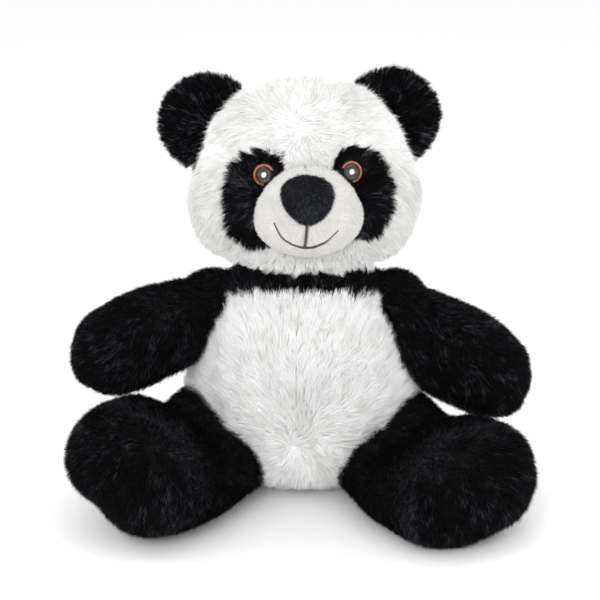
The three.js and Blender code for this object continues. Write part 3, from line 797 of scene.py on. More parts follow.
def skin(name, form, mask, body, slot, node, thickness=1.6):
    """One cut of cloth: the form's faces under the mask, thickened inwards to a closed piece."""
    used, index = np.unique(form.triangles[mask], return_inverse=True)
    thing = mesh_object(name, form.points[used], index.reshape(-1, 3))
    thicken(thing, thickness, -1)
    thing.data.materials.append(CLOTH[slot])
    declare(thing, body, (node,))


def apply_modifiers(thing):
    evaluated = thing.evaluated_get(bpy.context.evaluated_depsgraph_get())
    mesh = bpy.data.meshes.new_from_object(evaluated)
    old = thing.data
    thing.modifiers.clear()
    thing.data = mesh
    bpy.data.meshes.remove(old)
    mesh.name = thing.name


def thicken(thing, thickness, offset):
    solidify = thing.modifiers.new("thickness", "SOLIDIFY")
    solidify.thickness = thickness * MM
    solidify.offset = offset
    apply_modifiers(thing)


def filling(name, form, body, node, inset=FIBRE_INSET):
    """Fibre stuffing just inside a form: the same shape, drawn in and lumpy."""
    inner = Form(form.points - form.normals * inset, form.triangles)
    inner.displace(0.5 * noise(inner.points, 6, 5) - 0.3)
    thing = mesh_object(name, inner.points, inner.triangles)
    thing.modifiers.new("thin", "DECIMATE").ratio = 0.5
    apply_modifiers(thing)
    thing.data.materials.append(CLOTH["fibre_filling"])
    thing.data.polygons.foreach_set("use_smooth", np.ones(len(thing.data.polygons), bool))
    declare(thing, body, (node,))


def ball_filling(joint, centre, radius, seed, end=""):
    """The ball of fibre that bends at a joint."""
    form = ball_form(centre, radius - 0.6, VOXEL["joint"], seed, lumps=0.7)
    whole_piece(f"{joint}_fibre{end}", form, joint + end, "fibre_filling", f"{joint}_fill{end}")


def scatter(form, density):
    """Points spread over a form, with smooth normals: density is per mm2."""
    count = int(form.areas.sum() * density)
    share = np.cumsum(form.areas) / form.areas.sum()
    pick = np.searchsorted(share, RNG.random(count) * 0.999999)
    u, v = RNG.random((2, count, 1))
    flip = u + v > 1
    u, v = np.where(flip, 1 - u, u), np.where(flip, 1 - v, v)
    a, b, c = form.triangles[pick].T
    w = 1 - u - v
    points = form.points[a] * w + form.points[b] * u + form.points[c] * v
    normals = unit(form.normals[a] * w + form.normals[b] * u + form.normals[c] * v)
    return points, normals


STEPS = np.array([0.0, 0.38, 0.72, 1.0])  # where a strand's cross-sections are, from root to tip
BREADTH = (1.0, 0.95, 0.55)  # a strand's width there, before it ends in a point
BLADE_POINTS = 7
BLADE_CORNERS = np.array([0, 1, 3, 2, 2, 3, 5, 4, 4, 5, 6], np.int32)
BLADE_FACES = np.array([0, 4, 8], np.int32)  # where each face starts among the corners
SHADE_LIMITS = (0.42, 0.61, 0.75)  # between the four shades


def grow(points, normals, comb, length, lay, tone_and_painted_light, style, seed):
    """Strands as narrow tapered blades: an array of strand x 7 points, and each strand's shade."""
    n = len(points)
    rng = np.random.default_rng(seed)
    width, clump, pull, stray, contrast = STYLES[style]
    comb = unit(tangent(comb, normals) + 1e-6)
    swirl = noise3(points, 9, seed) * 0.45 + noise3(points, 3.5, seed + 3) * 0.35
    comb = unit(tangent(comb + swirl, normals))
    lean = np.clip(lay + 0.16 * noise(points, 7, seed + 9) + rng.normal(0, stray * 0.5, n), 0.05, 0.97)
    angle = lean * math.pi / 2
    reach = length * rng.uniform(0.78, 1.12, n)
    up, along = np.cos(angle), np.sin(angle)
    jitter = rng.normal(0, 1, (n, 3)) * stray
    centre = np.zeros((n, 4, 3))
    for k, t in enumerate(STEPS):
        rise = (up * (t - 0.22 * t * t) * reach)[:, None]
        slide = ((along * t + 0.28 * up * t * t) * reach)[:, None]
        centre[:, k] = points + normals * rise + comb * slide + jitter * (reach * t * t)[:, None]

    warp = points + noise3(points, clump * 1.7, seed + 5) * clump * 0.8
    cell = np.floor(warp / clump).astype(np.int64)
    _, group = np.unique(cell_key(*cell.T), return_inverse=True)
    members = np.bincount(group).astype(float)
    tip = np.stack([np.bincount(group, centre[:, 3, i]) / members for i in range(3)], -1)
    drift = rng.normal(0, 1, (len(members), 3)) * (0.10 * length.mean())
    towards = (tip + drift)[group] - centre[:, 3]
    strength = pull * rng.uniform(0.55, 1.0, n)
    for k, t in enumerate(STEPS):
        centre[:, k] += towards * (strength * t**1.6)[:, None]
    centre[:, :, 2] = np.maximum(centre[:, :, 2], STRAND_FLOOR)

    direction = unit(centre[:, 3] - centre[:, 0])
    facing = unit(normals + rng.normal(0, 0.42, (n, 3)))
    across = unit(np.cross(direction, facing))
    half = (width * rng.uniform(0.7, 1.25, n) / 2)[:, None]
    blade = np.zeros((n, BLADE_POINTS, 3))
    for k, share in enumerate(BREADTH):
        blade[:, 2 * k] = centre[:, k] - across * half * share
        blade[:, 2 * k + 1] = centre[:, k] + across * half * share
    blade[:, -1] = centre[:, 3]
    blade[:, :, 2] = np.maximum(blade[:, :, 2], STRAND_FLOOR)

    single = 0.24 if contrast < 1 else 0.5  # how much of the shade varies from strand to strand
    patchy = 0.5 + 0.5 * noise(points, 7, seed + 21)
    shade = rng.random(n) * single + rng.random(len(members))[group] * (0.72 - single) + patchy * 0.28
    # the tone moves a strand to a darker or lighter shade: a plain colour offset for a pile, and painted
    # light and shade where it varies over a form
    shade = 0.5 + (shade - 0.5) * contrast + tone_and_painted_light
    return blade, np.digitize(shade, SHADE_LIMITS)


def strand_object(name, blades, shade, materials):
    """A mesh of blades, each with two four-sided faces and a three-sided tip."""
    n = len(blades)
    mesh = bpy.data.meshes.new(name)
    mesh.vertices.add(n * BLADE_POINTS)
    mesh.vertices.foreach_set("co", (blades * MM).astype(np.float32).ravel())
    strand = np.arange(n, dtype=np.int32)[:, None]
    loops = (strand * BLADE_POINTS + BLADE_CORNERS).ravel()
    mesh.loops.add(len(loops))
    mesh.loops.foreach_set("vertex_index", loops)
    starts = (strand * len(BLADE_CORNERS) + BLADE_FACES).ravel()
    mesh.polygons.add(len(starts))
    mesh.polygons.foreach_set("loop_start", starts)
    mesh.polygons.foreach_set("material_index", np.repeat(shade.astype(np.int32), len(BLADE_FACES)))
    mesh.polygons.foreach_set("use_smooth", np.ones(len(starts), bool))
    mesh.update(calc_edges=True)
    return add_object(name, mesh, materials)


MOST_STRANDS = 39500  # in one piece


class Coat:
    """A form's strands before they grow: roots, normals, and each one's comb, length, lay and tone,
    which carries painted light and shade.
    """

    def __init__(self, points, normals, comb, length, lay, tone_and_painted_light=0.0):
        self.points, self.normals = points, normals
        self.comb = np.broadcast_to(comb, points.shape)
        self.length, self.lay, self.tone_and_painted_light = (
            np.broadcast_to(np.asarray(value, float), len(points)) for value in (length, lay, tone_and_painted_light)
        )

    def pile(self, name, body, slot, style, mask=slice(None)):
        """Grows one panel's pile, as several layers where it has many strands."""
        seed = sum(ord(c) * (i + 1) for i, c in enumerate(name)) % 9973
        chosen = (self.points, self.normals, self.comb, self.length, self.lay, self.tone_and_painted_light)
        blades, shade = grow(*(value[mask] for value in chosen), style, seed)
        layers = -(-len(blades) // MOST_STRANDS)
        for layer in range(layers):
            label = name if layers == 1 else f"{name}_{layer + 1}"
            thing = strand_object(label, blades[layer::layers], shade[layer::layers], SHADES[slot])
            declare(thing, body)


def inside_outline(outline, x, z):
    """True for the points inside a closed outline."""
    result = np.zeros(len(x), bool)
    ax, az = outline[:, 0], outline[:, 1]
    bx, bz = np.roll(ax, -1), np.roll(az, -1)
    for i in range(len(outline)):
        crosses = (az[i] > z) != (bz[i] > z)
        if not crosses.any():
            continue
        at = ax[i] + (z - az[i]) * (bx[i] - ax[i]) / (bz[i] - az[i] + 1e-12)
        result ^= crosses & (x < at)
    return result


def patch_outline():
    closed = np.vstack([EYE_PATCH, EYE_PATCH[:3]])
    return catmull(closed, 160)[:130]


# ------------------------------------------------------------ head
def head_parts(q):
    """Which cloth panel each head-local point belongs to."""
    x, y, z = q.T
    back = np.where(x > 0, "head_back_left", "head_back_right")
    part = np.where(y > NAPE, back, np.where(x > 0, "cheek_left", "cheek_right")).astype("<U16")
    part[(np.abs(x) < GUSSET_HALF_WIDTH) & (z > EYE_PATCH[0][1]) & (y < NAPE)] = "head_gusset"
    outline = patch_outline()
    front = y < -5
    part[inside_outline(outline, x, z) & front] = "eye_patch_left"
    part[inside_outline(outline, -x, z) & front] = "eye_patch_right"
    return part


WHORL = np.array([-2, -38, 47.0])
PATCH_HEART = (24, 2)  # x and z, from where the eye patches' pile spreads on both sides
PATCH_INSET = 1.07  # how much the black pile is drawn in from a patch's outline


def pile_slot(part):
    black = part.startswith("eye_patch") or part.endswith("yoke")
    return "black_pile" if black else "white_pile"


def head_comb(q, n):
    """Pile flows away from a whorl on the forehead, then down and outwards, and out from the patches."""
    x, y, z = q.T
    reach = np.linalg.norm(q - WHORL, axis=1)
    away = unit(q - WHORL) * smooth(reach, 0, 26)[:, None]
    fall = 0.55 * smooth(reach, 14, 60)[:, None]
    flow = away * (1 - fall) + np.array([0, 0, -1.0]) * fall
    outward = np.tanh(x[:, None] / 18) * np.array([1.0, 0, 0])
    flow = flow + outward * 0.35 * smooth(-y, 0, 30)[:, None] + 0.35 * noise3(q, 7, 95)
    beside, above = np.abs(x) - PATCH_HEART[0], z - PATCH_HEART[1]
    spread = unit(vectors(beside * np.sign(x), 0, above))
    at_patch = (np.exp(-((np.hypot(beside, above) / 30) ** 4)) * (y < -5))[:, None]
    flow = flow * (1 - at_patch) + spread * at_patch
    return tangent(flow + 0.4 * noise3(q, 12, 91), n)


def head_pile_parts(q):
    """Which panel's pile covers each point: ragged borders, and eye patches a little drawn in."""
    x, _, z = q.T
    ragged = q + noise3(q, 3.4, 77) * 2.0
    drawn_in = ragged.copy()
    heart_x, heart_z = PATCH_HEART[0] * np.sign(x), PATCH_HEART[1]
    drawn_in[:, 0] = heart_x + (ragged[:, 0] - heart_x) * PATCH_INSET
    drawn_in[:, 2] = heart_z + (ragged[:, 2] - heart_z) * PATCH_INSET
    left_foot = 2.4 * smooth(-z, 6, 20)
    right_top = -2.2 * smooth(z, 8, 24) * smooth(-x, 20, 34)
    drawn_in[:, 2] -= np.where(x > 0, left_foot, right_top)
    beside_gusset = (np.abs(q[:, :1]) > GUSSET_HALF_WIDTH) | (q[:, 2:] < 30)
    return head_parts(np.where(beside_gusset, drawn_in, ragged))


def ear_surroundings(p):
    """Which points an ear covers, how far each is from an ear's seam, and which are ahead of an ear."""
    covered = np.zeros(len(p), bool)
    ahead = np.zeros(len(p), bool)
    gap = np.full(len(p), FAR)
    for side, _ in SIDES:
        x, y, z = move(np.linalg.inv(ear_frame(side)), p).T
        out = np.abs(x)
        covered |= (np.abs(y) < 5) & (out < EAR_RADIUS - 5) & (np.abs(z) < 12)
        gap = np.minimum(gap, np.hypot(np.maximum(out - EAR_RADIUS, 0), np.hypot(y + 6, z)))
        ahead |= (out < EAR_RADIUS - 2) & (y < -2) & (z > EAR_FOOT)
    return covered, gap, ahead


def near(p, centre, radius):
    """Which points are within a ball."""
    return np.linalg.norm(p - centre, axis=1) < radius


def build_head():
    form = head_form()
    world = Form(move(HEAD, form.points), form.triangles)
    parts = head_parts(form.centres())
    for part in sorted(set(parts)):
        skin(part + "_skin", world, parts == part, "head", pile_slot(part), part)
    filling("head_fibre", world, "head", "head_stuffing")

    p, n = scatter(world, DENSITY["head"])
    q, local_n = move(HEAD_BACK, p), turn(HEAD_BACK, n)
    x, y, z = q.T
    part = head_pile_parts(q)
    patch = np.char.startswith(part, "eye_patch")
    under_ear, ear_gap, ahead_of_ear = ear_surroundings(p)
    eye_gap = np.where(y < 0, np.hypot(np.abs(x) - EYE[0], z - EYE[1]), FAR)
    patch_gap = np.where(y < -5, line_gap(np.abs(x), z, patch_outline()[::2]), FAR)
    high = (z - MUZZLE_Z) / (MUZZLE_SIZE[2] - 1.5)
    wide = x / ((MUZZLE_SIZE[0] - 1.5) * (1 - MUZZLE_TAPER * high))
    under_muzzle = (high**2 + wide**2 < 0.86) & (y < -20)
    keep = ~under_muzzle & ~under_ear & ~near(p, NECK, NECK_BALL - 2) & (eye_gap > EYE_RING + 0.4)

    chin = smooth(-z, 26, 44) * smooth(-y, -12, 10)
    fringe = chin * (0.6 + 5.5 * noise(q, 5.5, 61) + x / 12)
    length = PILE_LENGTH["head"] - 1.4 * smooth(z, 30, 60) + fringe
    length = np.where(patch, PILE_LENGTH["eye_patch"], length * (0.42 + 0.58 * smooth(patch_gap, 1, 10)))
    upper = np.clip((z - 34) / 16, -1, 1)
    length = length * (0.26 + 0.74 * smooth(ear_gap + np.where(upper > 0, 8, 3) * upper, 5, 13))
    rim = np.where(y < 0, smooth(np.sqrt(high**2 + wide**2), 0.9, 1.35), 1)
    length = length * (0.45 + 0.55 * rim) * (0.22 + 0.78 * smooth(eye_gap, EYE_RING, EYE_RING + 9))
    hang = smooth(-local_n[:, 2], 0.25, 0.75) * smooth(-local_n[:, 1], -0.5, 0.0)
    lay = (PILE_LAY["head"] + 0.12 * (1 - rim)) * (1 - 0.55 * hang)
    # painted light and shade: the white pile takes lighter shades higher up the face, on the chin's
    # shaded underside and towards the back, and darker shades on the upward-facing top that the top lamp
    # lights most
    light = -0.07 + 0.32 * smooth(z, 4, 36) + 0.18 * chin + 0.14 * smooth(y, 0, 30)
    tone_and_painted_light = np.where(patch, -0.02, light - 0.24 * smooth(local_n[:, 2], 0.5, 0.95))
    coat = Coat(p, n, turn(HEAD, head_comb(q, local_n)), length, lay, tone_and_painted_light)
    seam_length = np.maximum(length, SHORTEST_SEAM_PILE)
    seam_coat = Coat(p, n, coat.comb, seam_length, PILE_LAY["ear_seam"])

    in_seam = (ear_gap < 4 + 5 * np.clip(-upper, 0, 1) + noise(q, 2.5, 65)) & ahead_of_ear
    shaggy = chin > 0.35 + 0.2 * noise(q, 5, 63)
    for name in sorted(set(part)):
        mask = keep & (part == name)
        if name.startswith("cheek"):
            side = name.removeprefix("cheek")
            seam_coat.pile(f"ear_seam{side}_pile", "head", "black_pile", "ear_seam", mask & in_seam)
            mask = mask & ~in_seam
            coat.pile(f"chin{side}_pile", "head", "white_pile", "chin", mask & shaggy)
            mask = mask & ~shaggy
        slot = pile_slot(name)
        style = "head" if slot == "white_pile" else "eye_patch"
        coat.pile(name + "_pile", "head", slot, style, mask)


def build_ears():
    for side, name in SIDES:
        form = ear_form(side)
        back = np.linalg.inv(form.frame)
        behind = move(back, form.centres())[:, 1] > 0
        body = "ear_" + name
        for label, mask in (("front", ~behind), ("back", behind)):
            skin(f"ear_{label}_skin_{name}", form, mask, body, "black_pile", f"ear_{label}_{name}")
        p, n = scatter(form, DENSITY["ear"])
        q = move(back, p)
        keep = q[:, 2] > -1
        p, n, (x, y, z) = p[keep], n[keep], q[keep].T
        out = turn(form.frame, unit(vectors(x, 0, z + 6)))
        rim = np.hypot(x, z - EAR_RISE) / EAR_RADIUS
        length = PILE_LENGTH["ear"] + 1.2 * smooth(rim, 0.6, 1)
        coat = Coat(p, n, out, length, PILE_LAY["ear"])
        for label, mask in (("front", y <= 0), ("back", y > 0)):
            coat.pile(f"ear_{label}_pile_{name}", body, "black_pile", "ear", mask)


# ------------------------------------------------------------ face
def tube(path, radius, sides=6):
    """A round tube along points in mm, as points and faces."""
    path = np.asarray(path, float)
    along = unit(np.gradient(path, axis=0))
    side = unit(np.cross(along, np.array([0.13, 0.21, 0.97])))
    over = np.cross(side, along)
    radius = np.broadcast_to(radius, len(path))
    angle = np.arange(sides) * 2 * math.pi / sides
    rings = (
        path[:, None]
        + side[:, None] * (np.cos(angle)[None, :, None] * radius[:, None, None])
        + over[:, None] * (np.sin(angle)[None, :, None] * radius[:, None, None])
    )
    faces = []
    for k in range(len(path) - 1):
        for i in range(sides):
            j = (i + 1) % sides
            faces.append([k * sides + i, k * sides + j, (k + 1) * sides + j, (k + 1) * sides + i])
    faces.append(list(range(sides))[::-1])
    faces.append([(len(path) - 1) * sides + i for i in range(sides)])
    return rings.reshape(-1, 3), faces


def embroider(name, paths, radius, slot, shades, body, node):
    """One piece of embroidery: a tapered thread along each path, each in one of its slot's shades."""
    points, faces, face_shades = [], [], []
    for path, shade in zip(paths, shades):
        ends = np.minimum(np.linspace(0, 1, len(path)), np.linspace(1, 0, len(path)))
        thread_points, thread_faces = tube(path, radius * np.clip(0.45 + 3 * ends, 0, 1))
        base = len(points)
        points += thread_points.tolist()
        faces += [[base + i for i in face] for face in thread_faces]
        face_shades += [shade] * len(thread_faces)
    thing = mesh_object(name, points, faces, THREADS[slot], face_shades)
    bm = bmesh.new()
    bm.from_mesh(thing.data)
    bmesh.ops.recalc_face_normals(bm, faces=bm.faces)
    bm.to_mesh(thing.data)
    bm.free()
    declare(thing, body, (node,))


def build_eye(side, name):
    centre = on_face(side * EYE[0], EYE[1])
    normal = face_normal(side * EYE[0], EYE[1])
    across = unit(np.cross((0, 0, 1.0), normal))
    up = np.cross(normal, across)
    rng = np.random.default_rng(100 + side)

    def place(u, v, w):
        return move(HEAD, centre + np.outer(u, across) + np.outer(v, up) + np.outer(w, normal))

    start, end = EYE_ARC if side > 0 else (180 - EYE_ARC[1], 180 - EYE_ARC[0])
    bulge = 1.3 + 0.75 * np.sin(np.linspace(0, math.pi, 7)) ** 0.7
    paths, shades = [], []
    for i in range(EYE_STITCHES):
        angle = math.radians(start + (end - start) * (i + 0.5) / EYE_STITCHES + rng.normal(0, 0.4))
        inner = EYE_RING - EYE_RING_WIDTH / 2 + rng.normal(0, 0.06)
        outer = EYE_RING + EYE_RING_WIDTH / 2 + rng.normal(0, 0.06)
        r = np.linspace(inner, outer, 7)
        paths.append(place(r * math.cos(angle), r * math.sin(angle), bulge))
        low = 0.5 - 0.5 * math.sin(angle)
        shades.append(int(np.clip(low * 1.7 + rng.normal(0.2, 0.55), 0, 2)))
    embroider("iris_stitches_" + name, paths, 0.17, "copper_thread", shades, "head", "iris_ring_" + name)

    def disc(label, radius, lift, slot, node, tilt):
        """A domed disc of parallel stitches."""
        lines, tones = [], []
        for row in np.arange(-radius + STITCH_PITCH / 2, radius, STITCH_PITCH):
            reach = math.sqrt(max(radius**2 - row**2, 0.01)) + rng.normal(0, 0.05)
            s = np.linspace(-reach, reach, 9)
            u = s * math.cos(tilt) - row * math.sin(tilt)
            v = s * math.sin(tilt) + row * math.cos(tilt)
            along_row = np.sqrt(np.maximum(1 - (s / (reach + 0.2)) ** 2, 0))
            across_rows = math.sqrt(max(1 - (row / (radius + 0.2)) ** 2, 0))
            lines.append(place(u, v, lift + 0.55 * along_row * across_rows))
            tones.append(int(rng.random() * len(THREADS[slot])))
        embroider(label + name, lines, STITCH_PITCH * 0.62, slot, tones, "head", node + name)

    disc("pupil_stitches_", EYE_PUPIL, 1.0, "taupe_thread", "pupil_", 0.25)
    disc("highlight_stitches_", EYE_HIGHLIGHT, 1.7, "white_thread", "eye_highlight_", -0.5)


def build_muzzle():
    form = muzzle_form()
    world = Form(move(HEAD, form.points), form.triangles)
    left = form.centres()[:, 0] > 0
    for name, mask in (("left", left), ("right", ~left)):
        skin(f"muzzle_{name}_skin", world, mask, "head", "muzzle_pile", "muzzle_" + name, thickness=1.0)
    filling("muzzle_fibre", world, "head", "muzzle_stuffing", inset=2.0)

    p, n = scatter(world, DENSITY["muzzle"])
    q = move(HEAD_BACK, p)
    x, y, z = q.T
    gap = line_gap(x, z, np.vstack([catmull(SMILE, 50), catmull(PHILTRUM, 16)]))
    edge_x, edge_z = nose_outline(np.arctan2(z - NOSE[1], x - NOSE[0]))
    nose_reach = np.hypot(edge_x - NOSE[0], edge_z - NOSE[1])
    under_nose = (np.hypot(x - NOSE[0], z - NOSE[1]) < nose_reach - 1.5) & (y < -55)
    keep = (y < -34) & (gap > 0.75) & ~under_nose
    p, n, q, gap = p[keep], n[keep], q[keep], gap[keep]
    x, y, z = q.T
    away = turn(HEAD, unit(q - MUZZLE_WHORL))
    crease = bump(x, -1.0, 0.75) * smooth(z, 14, 17)
    length = PILE_LENGTH["muzzle"] * (0.55 + 0.45 * smooth(gap, 0.7, 2.5)) + 0.8 * smooth(-y, 60, 40)
    # painted shade: the pile along the crease of the muzzle's top seam takes darker shades
    coat = Coat(p, n, away, length * (1 - 0.7 * crease), PILE_LAY["muzzle"], -0.5 * crease)
    for name, mask in (("left", x > 0), ("right", x <= 0)):
        coat.pile("muzzle_pile_" + name, "head", "muzzle_pile", "muzzle", mask)


def build_nose():
    form = nose_form()
    world = Form(move(HEAD, form.points), form.triangles)
    whole_piece("nose_skin", world, "head", "nose_pile", "nose")
    p, n = scatter(world, DENSITY["nose"])
    q = move(HEAD_BACK, p)
    keep = turn(HEAD_BACK, n)[:, 1] < 0.2
    p, n, q = p[keep], n[keep], q[keep]
    x, _, z = q.T
    ripple = np.sin(z * 4.6 + x * 1.5 + 0.9 * noise(q, 6, 4))
    ripple = ripple * (0.35 + 0.65 * smooth(x - z, -16, 6))
    comb = turn(HEAD, vectors(0.5 * noise(q, 5, 8), 0, -0.5 + 0.5 * ripple))
    edge = smooth(np.hypot((x - NOSE[0]) / NOSE[2], (z - NOSE[1]) / NOSE[3]), 0.8, 1.1)
    length = PILE_LENGTH["nose"] + 0.12 * ripple + 0.7 * edge
    # painted highlight: the ripples' ridges take lighter shades and their troughs darker ones
    coat = Coat(p, n, comb, length, PILE_LAY["nose"], 0.07 + 0.2 * ripple)
    coat.pile("nose_pile", "head", "nose_pile", "nose")


def build_mouth():
    paths, shades = [], []
    for knots in (SMILE, PHILTRUM):
        line = catmull(knots, 60)
        points = on_muzzle(line[:, 0], line[:, 1], 0.75)
        length = np.concatenate([[0], np.cumsum(np.linalg.norm(np.diff(points, axis=0), axis=1))])
        normal = unit(points - np.array([0, -MUZZLE_FORWARD + 5, MUZZLE_Z]))
        side = np.cross(unit(np.gradient(points, axis=0)), normal)
        for ply in range(3):
            phase = length / THREAD_TWIST * 2 * math.pi + ply * 2 * math.pi / 3
            offset = side * np.cos(phase)[:, None] * 0.36 + normal * np.sin(phase)[:, None] * 0.30
            paths.append(move(HEAD, points + offset))
            shades.append(ply % 2)
    embroider("mouth_thread", paths, 0.5, "dark_thread", shades, "head", "mouth_embroidery")


# ------------------------------------------------------------ torso
BELLY_WHORL = (-2, 42)  # x and height


def torso_parts(p):
    """Which cloth panel each point belongs to."""
    x, y, z = p.T
    band = z + YOKE_SLOPE * y > YOKE_HEIGHT
    front = y < -TORSO_FORWARD
    back = np.where(x > 0, "back_panel_left", "back_panel_right")
    part = np.where(front, "belly_panel", back).astype("<U16")
    part[band & front] = "chest_yoke"
    part[band & ~front] = "back_yoke"
    return part


def torso_comb(p, n):
    """Pile spreads up and out from a whorl low on the belly, and falls down the back."""
    x, z = p[:, 0] - BELLY_WHORL[0], p[:, 2] - BELLY_WHORL[1]
    front = smooth(-p[:, 1], -10, 12)[:, None]
    calm = smooth(np.hypot(x, z), 0, 16)[:, None]
    spread = unit(vectors(x, 0, z + 0.35 * np.abs(x)))
    flow = spread * front * calm + vectors(0.012 * x, 0, -1) * (1 - front)
    return tangent(flow + (0.75 - 0.4 * calm) * noise3(p, 8, 93), n)


def build_torso():
    form = torso_form()
    parts = torso_parts(form.centres())
    for part in sorted(set(parts)):
        skin(part + "_skin", form, parts == part, "torso", pile_slot(part), part)
    filling("torso_fibre", form, "torso", "torso_stuffing")
    flat = (1, 1, POUCH_HALF_HEIGHT / POUCH_RADIUS)
    pouch = ball_form(POUCH_CENTRE, POUCH_RADIUS, VOXEL["pouch"], 12, 0.8, flat)
    whole_piece("pellet_bag", pouch, "torso", "pellets", "pellet_pouch")

    p, n = scatter(form, DENSITY["torso"])
    keep = ~near(p, NECK, NECK_BALL - 3)
    for side, _ in SIDES:
        keep &= ~near(p, at_side(ARM_PIVOT, side), 14)
        keep &= ~near(p, at_side(LEG_PIVOT, side), 25)
    keep &= ~((p[:, 2] < 2) & (RNG.random(len(p)) < 0.5))
    p, n = p[keep], n[keep]
    x, y, z = p.T
    ragged = p + noise3(p, 4.0, 31) * 1.2 + noise3(p, 13, 33) * 2.2
    ragged[:, 2] += 2.4 * smooth(np.abs(x), 17, 33) * (y < 0)
    part = torso_parts(ragged)
    black = np.char.endswith(part, "yoke")
    tuft = noise(p * [1, 0.3, 0.3], 3.2, 21)
    short = smooth(z + YOKE_SLOPE * y, YOKE_HEIGHT - 14, YOKE_HEIGHT)
    shoulder = smooth(np.abs(x), 24, 40)
    border = short * smooth(-y, 0, 20) * (1 - shoulder)
    on_yoke = PILE_LENGTH["yoke"] + 3.5 * shoulder - 1.8 * border
    on_white = PILE_LENGTH["belly"] - (1.6 - 3.2 * tuft) * short
    length = np.where(z < 4, 3.0, np.where(black, on_yoke, on_white))
    lay = np.where(black, PILE_LAY["yoke"], PILE_LAY["belly"])
    # painted light: the white pile takes lighter shades higher up the torso, on top of a plain lighter
    # offset
    tone_and_painted_light = np.where(black, 0, 0.22 + 0.14 * smooth(z, 20, 90))
    coat = Coat(p, n, torso_comb(p, n), length, lay, tone_and_painted_light)
    for name in sorted(set(part)):
        slot = pile_slot(name)
        style = "belly" if slot == "white_pile" else "yoke"
        coat.pile(name + "_pile", "torso", slot, style, part == name)


def build_tail():
    form = ball_form(TAIL, TAIL_RADIUS - 1.5, VOXEL["tail"], 44)
    whole_piece("tail_skin", form, "torso", "white_pile", "tail")
    p, n = scatter(form, DENSITY["tail"])
    keep = p[:, 1] > TAIL[1] - 4
    coat = Coat(p[keep], n[keep], (0, 0.4, -1.0), PILE_LENGTH["tail"], PILE_LAY["tail"], 0.3)
    coat.pile("tail_pile", "torso", "white_pile", "tail")


def build_closing_seam():
    """Crossed hand stitches on the back, where the toy was stuffed."""
    low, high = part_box("closing_seam")
    s = np.linspace(-1, 1, 7)
    paths = []
    for k, z in enumerate(np.arange(low[2], high[2], SEAM_PITCH)):
        lean = 1.6 if k % 2 else -1.6
        share = (z - low[2]) / (high[2] - low[2])
        y = high[1] / MM - share * (high[1] - low[1]) / MM + 0.2
        paths.append(np.stack([s * 2.2, y + 0.5 * (1 - s**2), z / MM + s * lean], -1))
    shades = [k % 2 for k in range(len(paths))]
    embroider("closing_stitches", paths, 0.35, "dark_thread", shades, "torso", "closing_seam")


def build_label():
    """A blank ribbon folded once across, with its ends in the seam and a slight wave."""
    low, high = (np.array(v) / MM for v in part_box("care_label"))
    width, deep = high[0] - low[0], high[1] - low[1]
    top = [(low[1] + k * deep / 8, 0.5) for k in range(9)]
    turns = np.linspace(0, math.pi, 9)[1:-1]
    bend = [(high[1] + 0.5 * math.sin(a), 0.5 * math.cos(a)) for a in turns]
    under = [(y, -0.5) for y, _ in top[::-1]]
    profile = np.array(top + bend + under)
    across = np.linspace(low[0], high[0], 13)
    middle = (low[2] + high[2]) / 2
    points, faces = [], []
    for y, z in profile:
        for x in across:
            wave = 0.25 * math.sin((x - low[0]) * 0.6) * ((y - low[1]) / deep)
            points.append([x, y, middle + z + wave])
    for row in range(len(profile) - 1):
        for column in range(len(across) - 1):
            a = row * len(across) + column
            faces.append([a, a + 1, a + 1 + len(across), a + len(across)])
    thing = mesh_object("label_ribbon", points, faces)
    thicken(thing, 0.2, 0)
    thing.data.materials.append(CLOTH["label_ribbon"])
    declare(thing, "torso", ("care_label",))


# ------------------------------------------------------------ limbs
def build_arm(side, name):
    form = arm_form(side)
    direction = arm_direction(side)
    front = unit(np.cross((0, 0, 1.0), direction)) * -side
    pivot = at_side(ARM_PIVOT, side)
    body = "arm_" + name
    facing = ((form.centres() - pivot) * front).sum(1) > 0
    for label, mask in (("front", facing), ("back", ~facing)):
        skin(f"arm_{label}_skin_{name}", form, mask, body, "black_pile", f"arm_{label}_{name}")
    filling("arm_fibre_" + name, form, body, "arm_stuffing_" + name)
    ball_filling("shoulder", pivot, SHOULDER_BALL, 20 + side, "_" + name)

    p, n = scatter(form, DENSITY["arm"])
    along = move(np.linalg.inv(form.frame), p)[:, 1]
    keep = (along > -9) | (p[:, 2] > 115)
    p, n, along = p[keep], n[keep], along[keep]
    comb = tangent(direction + np.array([0, 0, -0.35]), n)
    length = PILE_LENGTH["limb"] + 0.5 * noise(p, 16, 2) - 0.4 * smooth(along, 70, 92)
    coat = Coat(p, n, comb, length, PILE_LAY["arm"], -0.03)
    facing = ((p - pivot) * front).sum(1) > 0
    for label, mask in (("front", facing), ("back", ~facing)):
        coat.pile(f"arm_{label}_pile_{name}", body, "black_pile", "limb", mask)


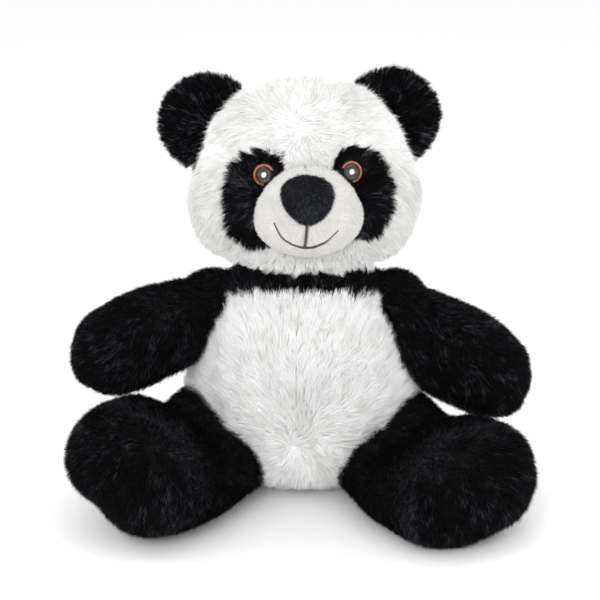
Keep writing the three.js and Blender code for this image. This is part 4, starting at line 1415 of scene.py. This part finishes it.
def build_leg(side, name):
    form = leg_form(side)
    back = np.linalg.inv(form.frame)
    direction = leg_direction(side)
    pivot = at_side(LEG_PIVOT, side)
    outward = unit(np.cross(direction, (0, 0, 1.0))) * -side
    body = "leg_" + name

    def parts(p):
        outer = ((p - pivot) * outward).sum(1) > 0
        part = np.where(outer, "leg_outer", "leg_inner").astype("<U10")
        part[move(back, p)[:, 1] > SOLE_START] = "sole"
        return part

    part = parts(form.centres())
    for label in LEG_PANELS:
        skin(f"{label}_skin_{name}", form, part == label, body, "black_pile", f"{label}_{name}")
    filling("leg_fibre_" + name, form, body, "leg_stuffing_" + name)
    ball_filling("hip", pivot, HIP_BALL, 24 + side, "_" + name)

    p, n = scatter(form, DENSITY["leg"])
    q = move(back, p)
    flat = (p[:, 2] < 2) & (n[:, 2] < -0.7)
    keep = (q[:, 1] > -12) & ~(flat & (RNG.random(len(p)) < 0.6))
    p, n, q, flat = p[keep], n[keep], q[keep], flat[keep]
    sole = smooth(q[:, 1], SOLE_START - 4, SOLE_START + 14)[:, None]
    down_limb = direction + np.array([0, 0, -0.25])
    down_sole = np.array([0.25 * side, 0, -1.0])
    comb = tangent(down_limb * (1 - sole) + down_sole * sole, n)
    length = np.where(flat, 2.5, PILE_LENGTH["limb"] + 0.5 * noise(p, 16, 2))
    length = length * (0.6 + 0.4 * smooth(p[:, 2], 0, 14))
    # painted sheen: strands in a band round the foot's rim take lighter shades, more on its upper side,
    # and the rest of the leg slightly darker ones
    above = smooth(q[:, 2], 0, 25)
    tone_and_painted_light = (0.12 + 0.16 * above) * bump(q[:, 1], SOLE_START - 4 * above, 11) - 0.05
    coat = Coat(p, n, comb, length, PILE_LAY["leg"] - 0.16 * sole[:, 0], tone_and_painted_light)
    part = parts(p)
    for label in LEG_PANELS:
        coat.pile(f"{label}_pile_{name}", body, "black_pile", "limb", part == label)


# ------------------------------------------------------------ assembly
make_camera()
make_stage()
SHADES = shaded(PILE_LOOKS, PILE_SPECULAR)
CLOTH = {slot: cloth_material(*look) for slot, look in CLOTH_LOOKS.items()}
THREADS = shaded(THREAD_LOOKS, 0.5)
build_torso()
build_head()
build_ears()
build_muzzle()
build_nose()
build_mouth()
ball_filling("neck", NECK, NECK_BALL, 30)
for side, name in SIDES:
    build_eye(side, name)
    build_arm(side, name)
    build_leg(side, name)
build_tail()
build_closing_seam()
build_label()
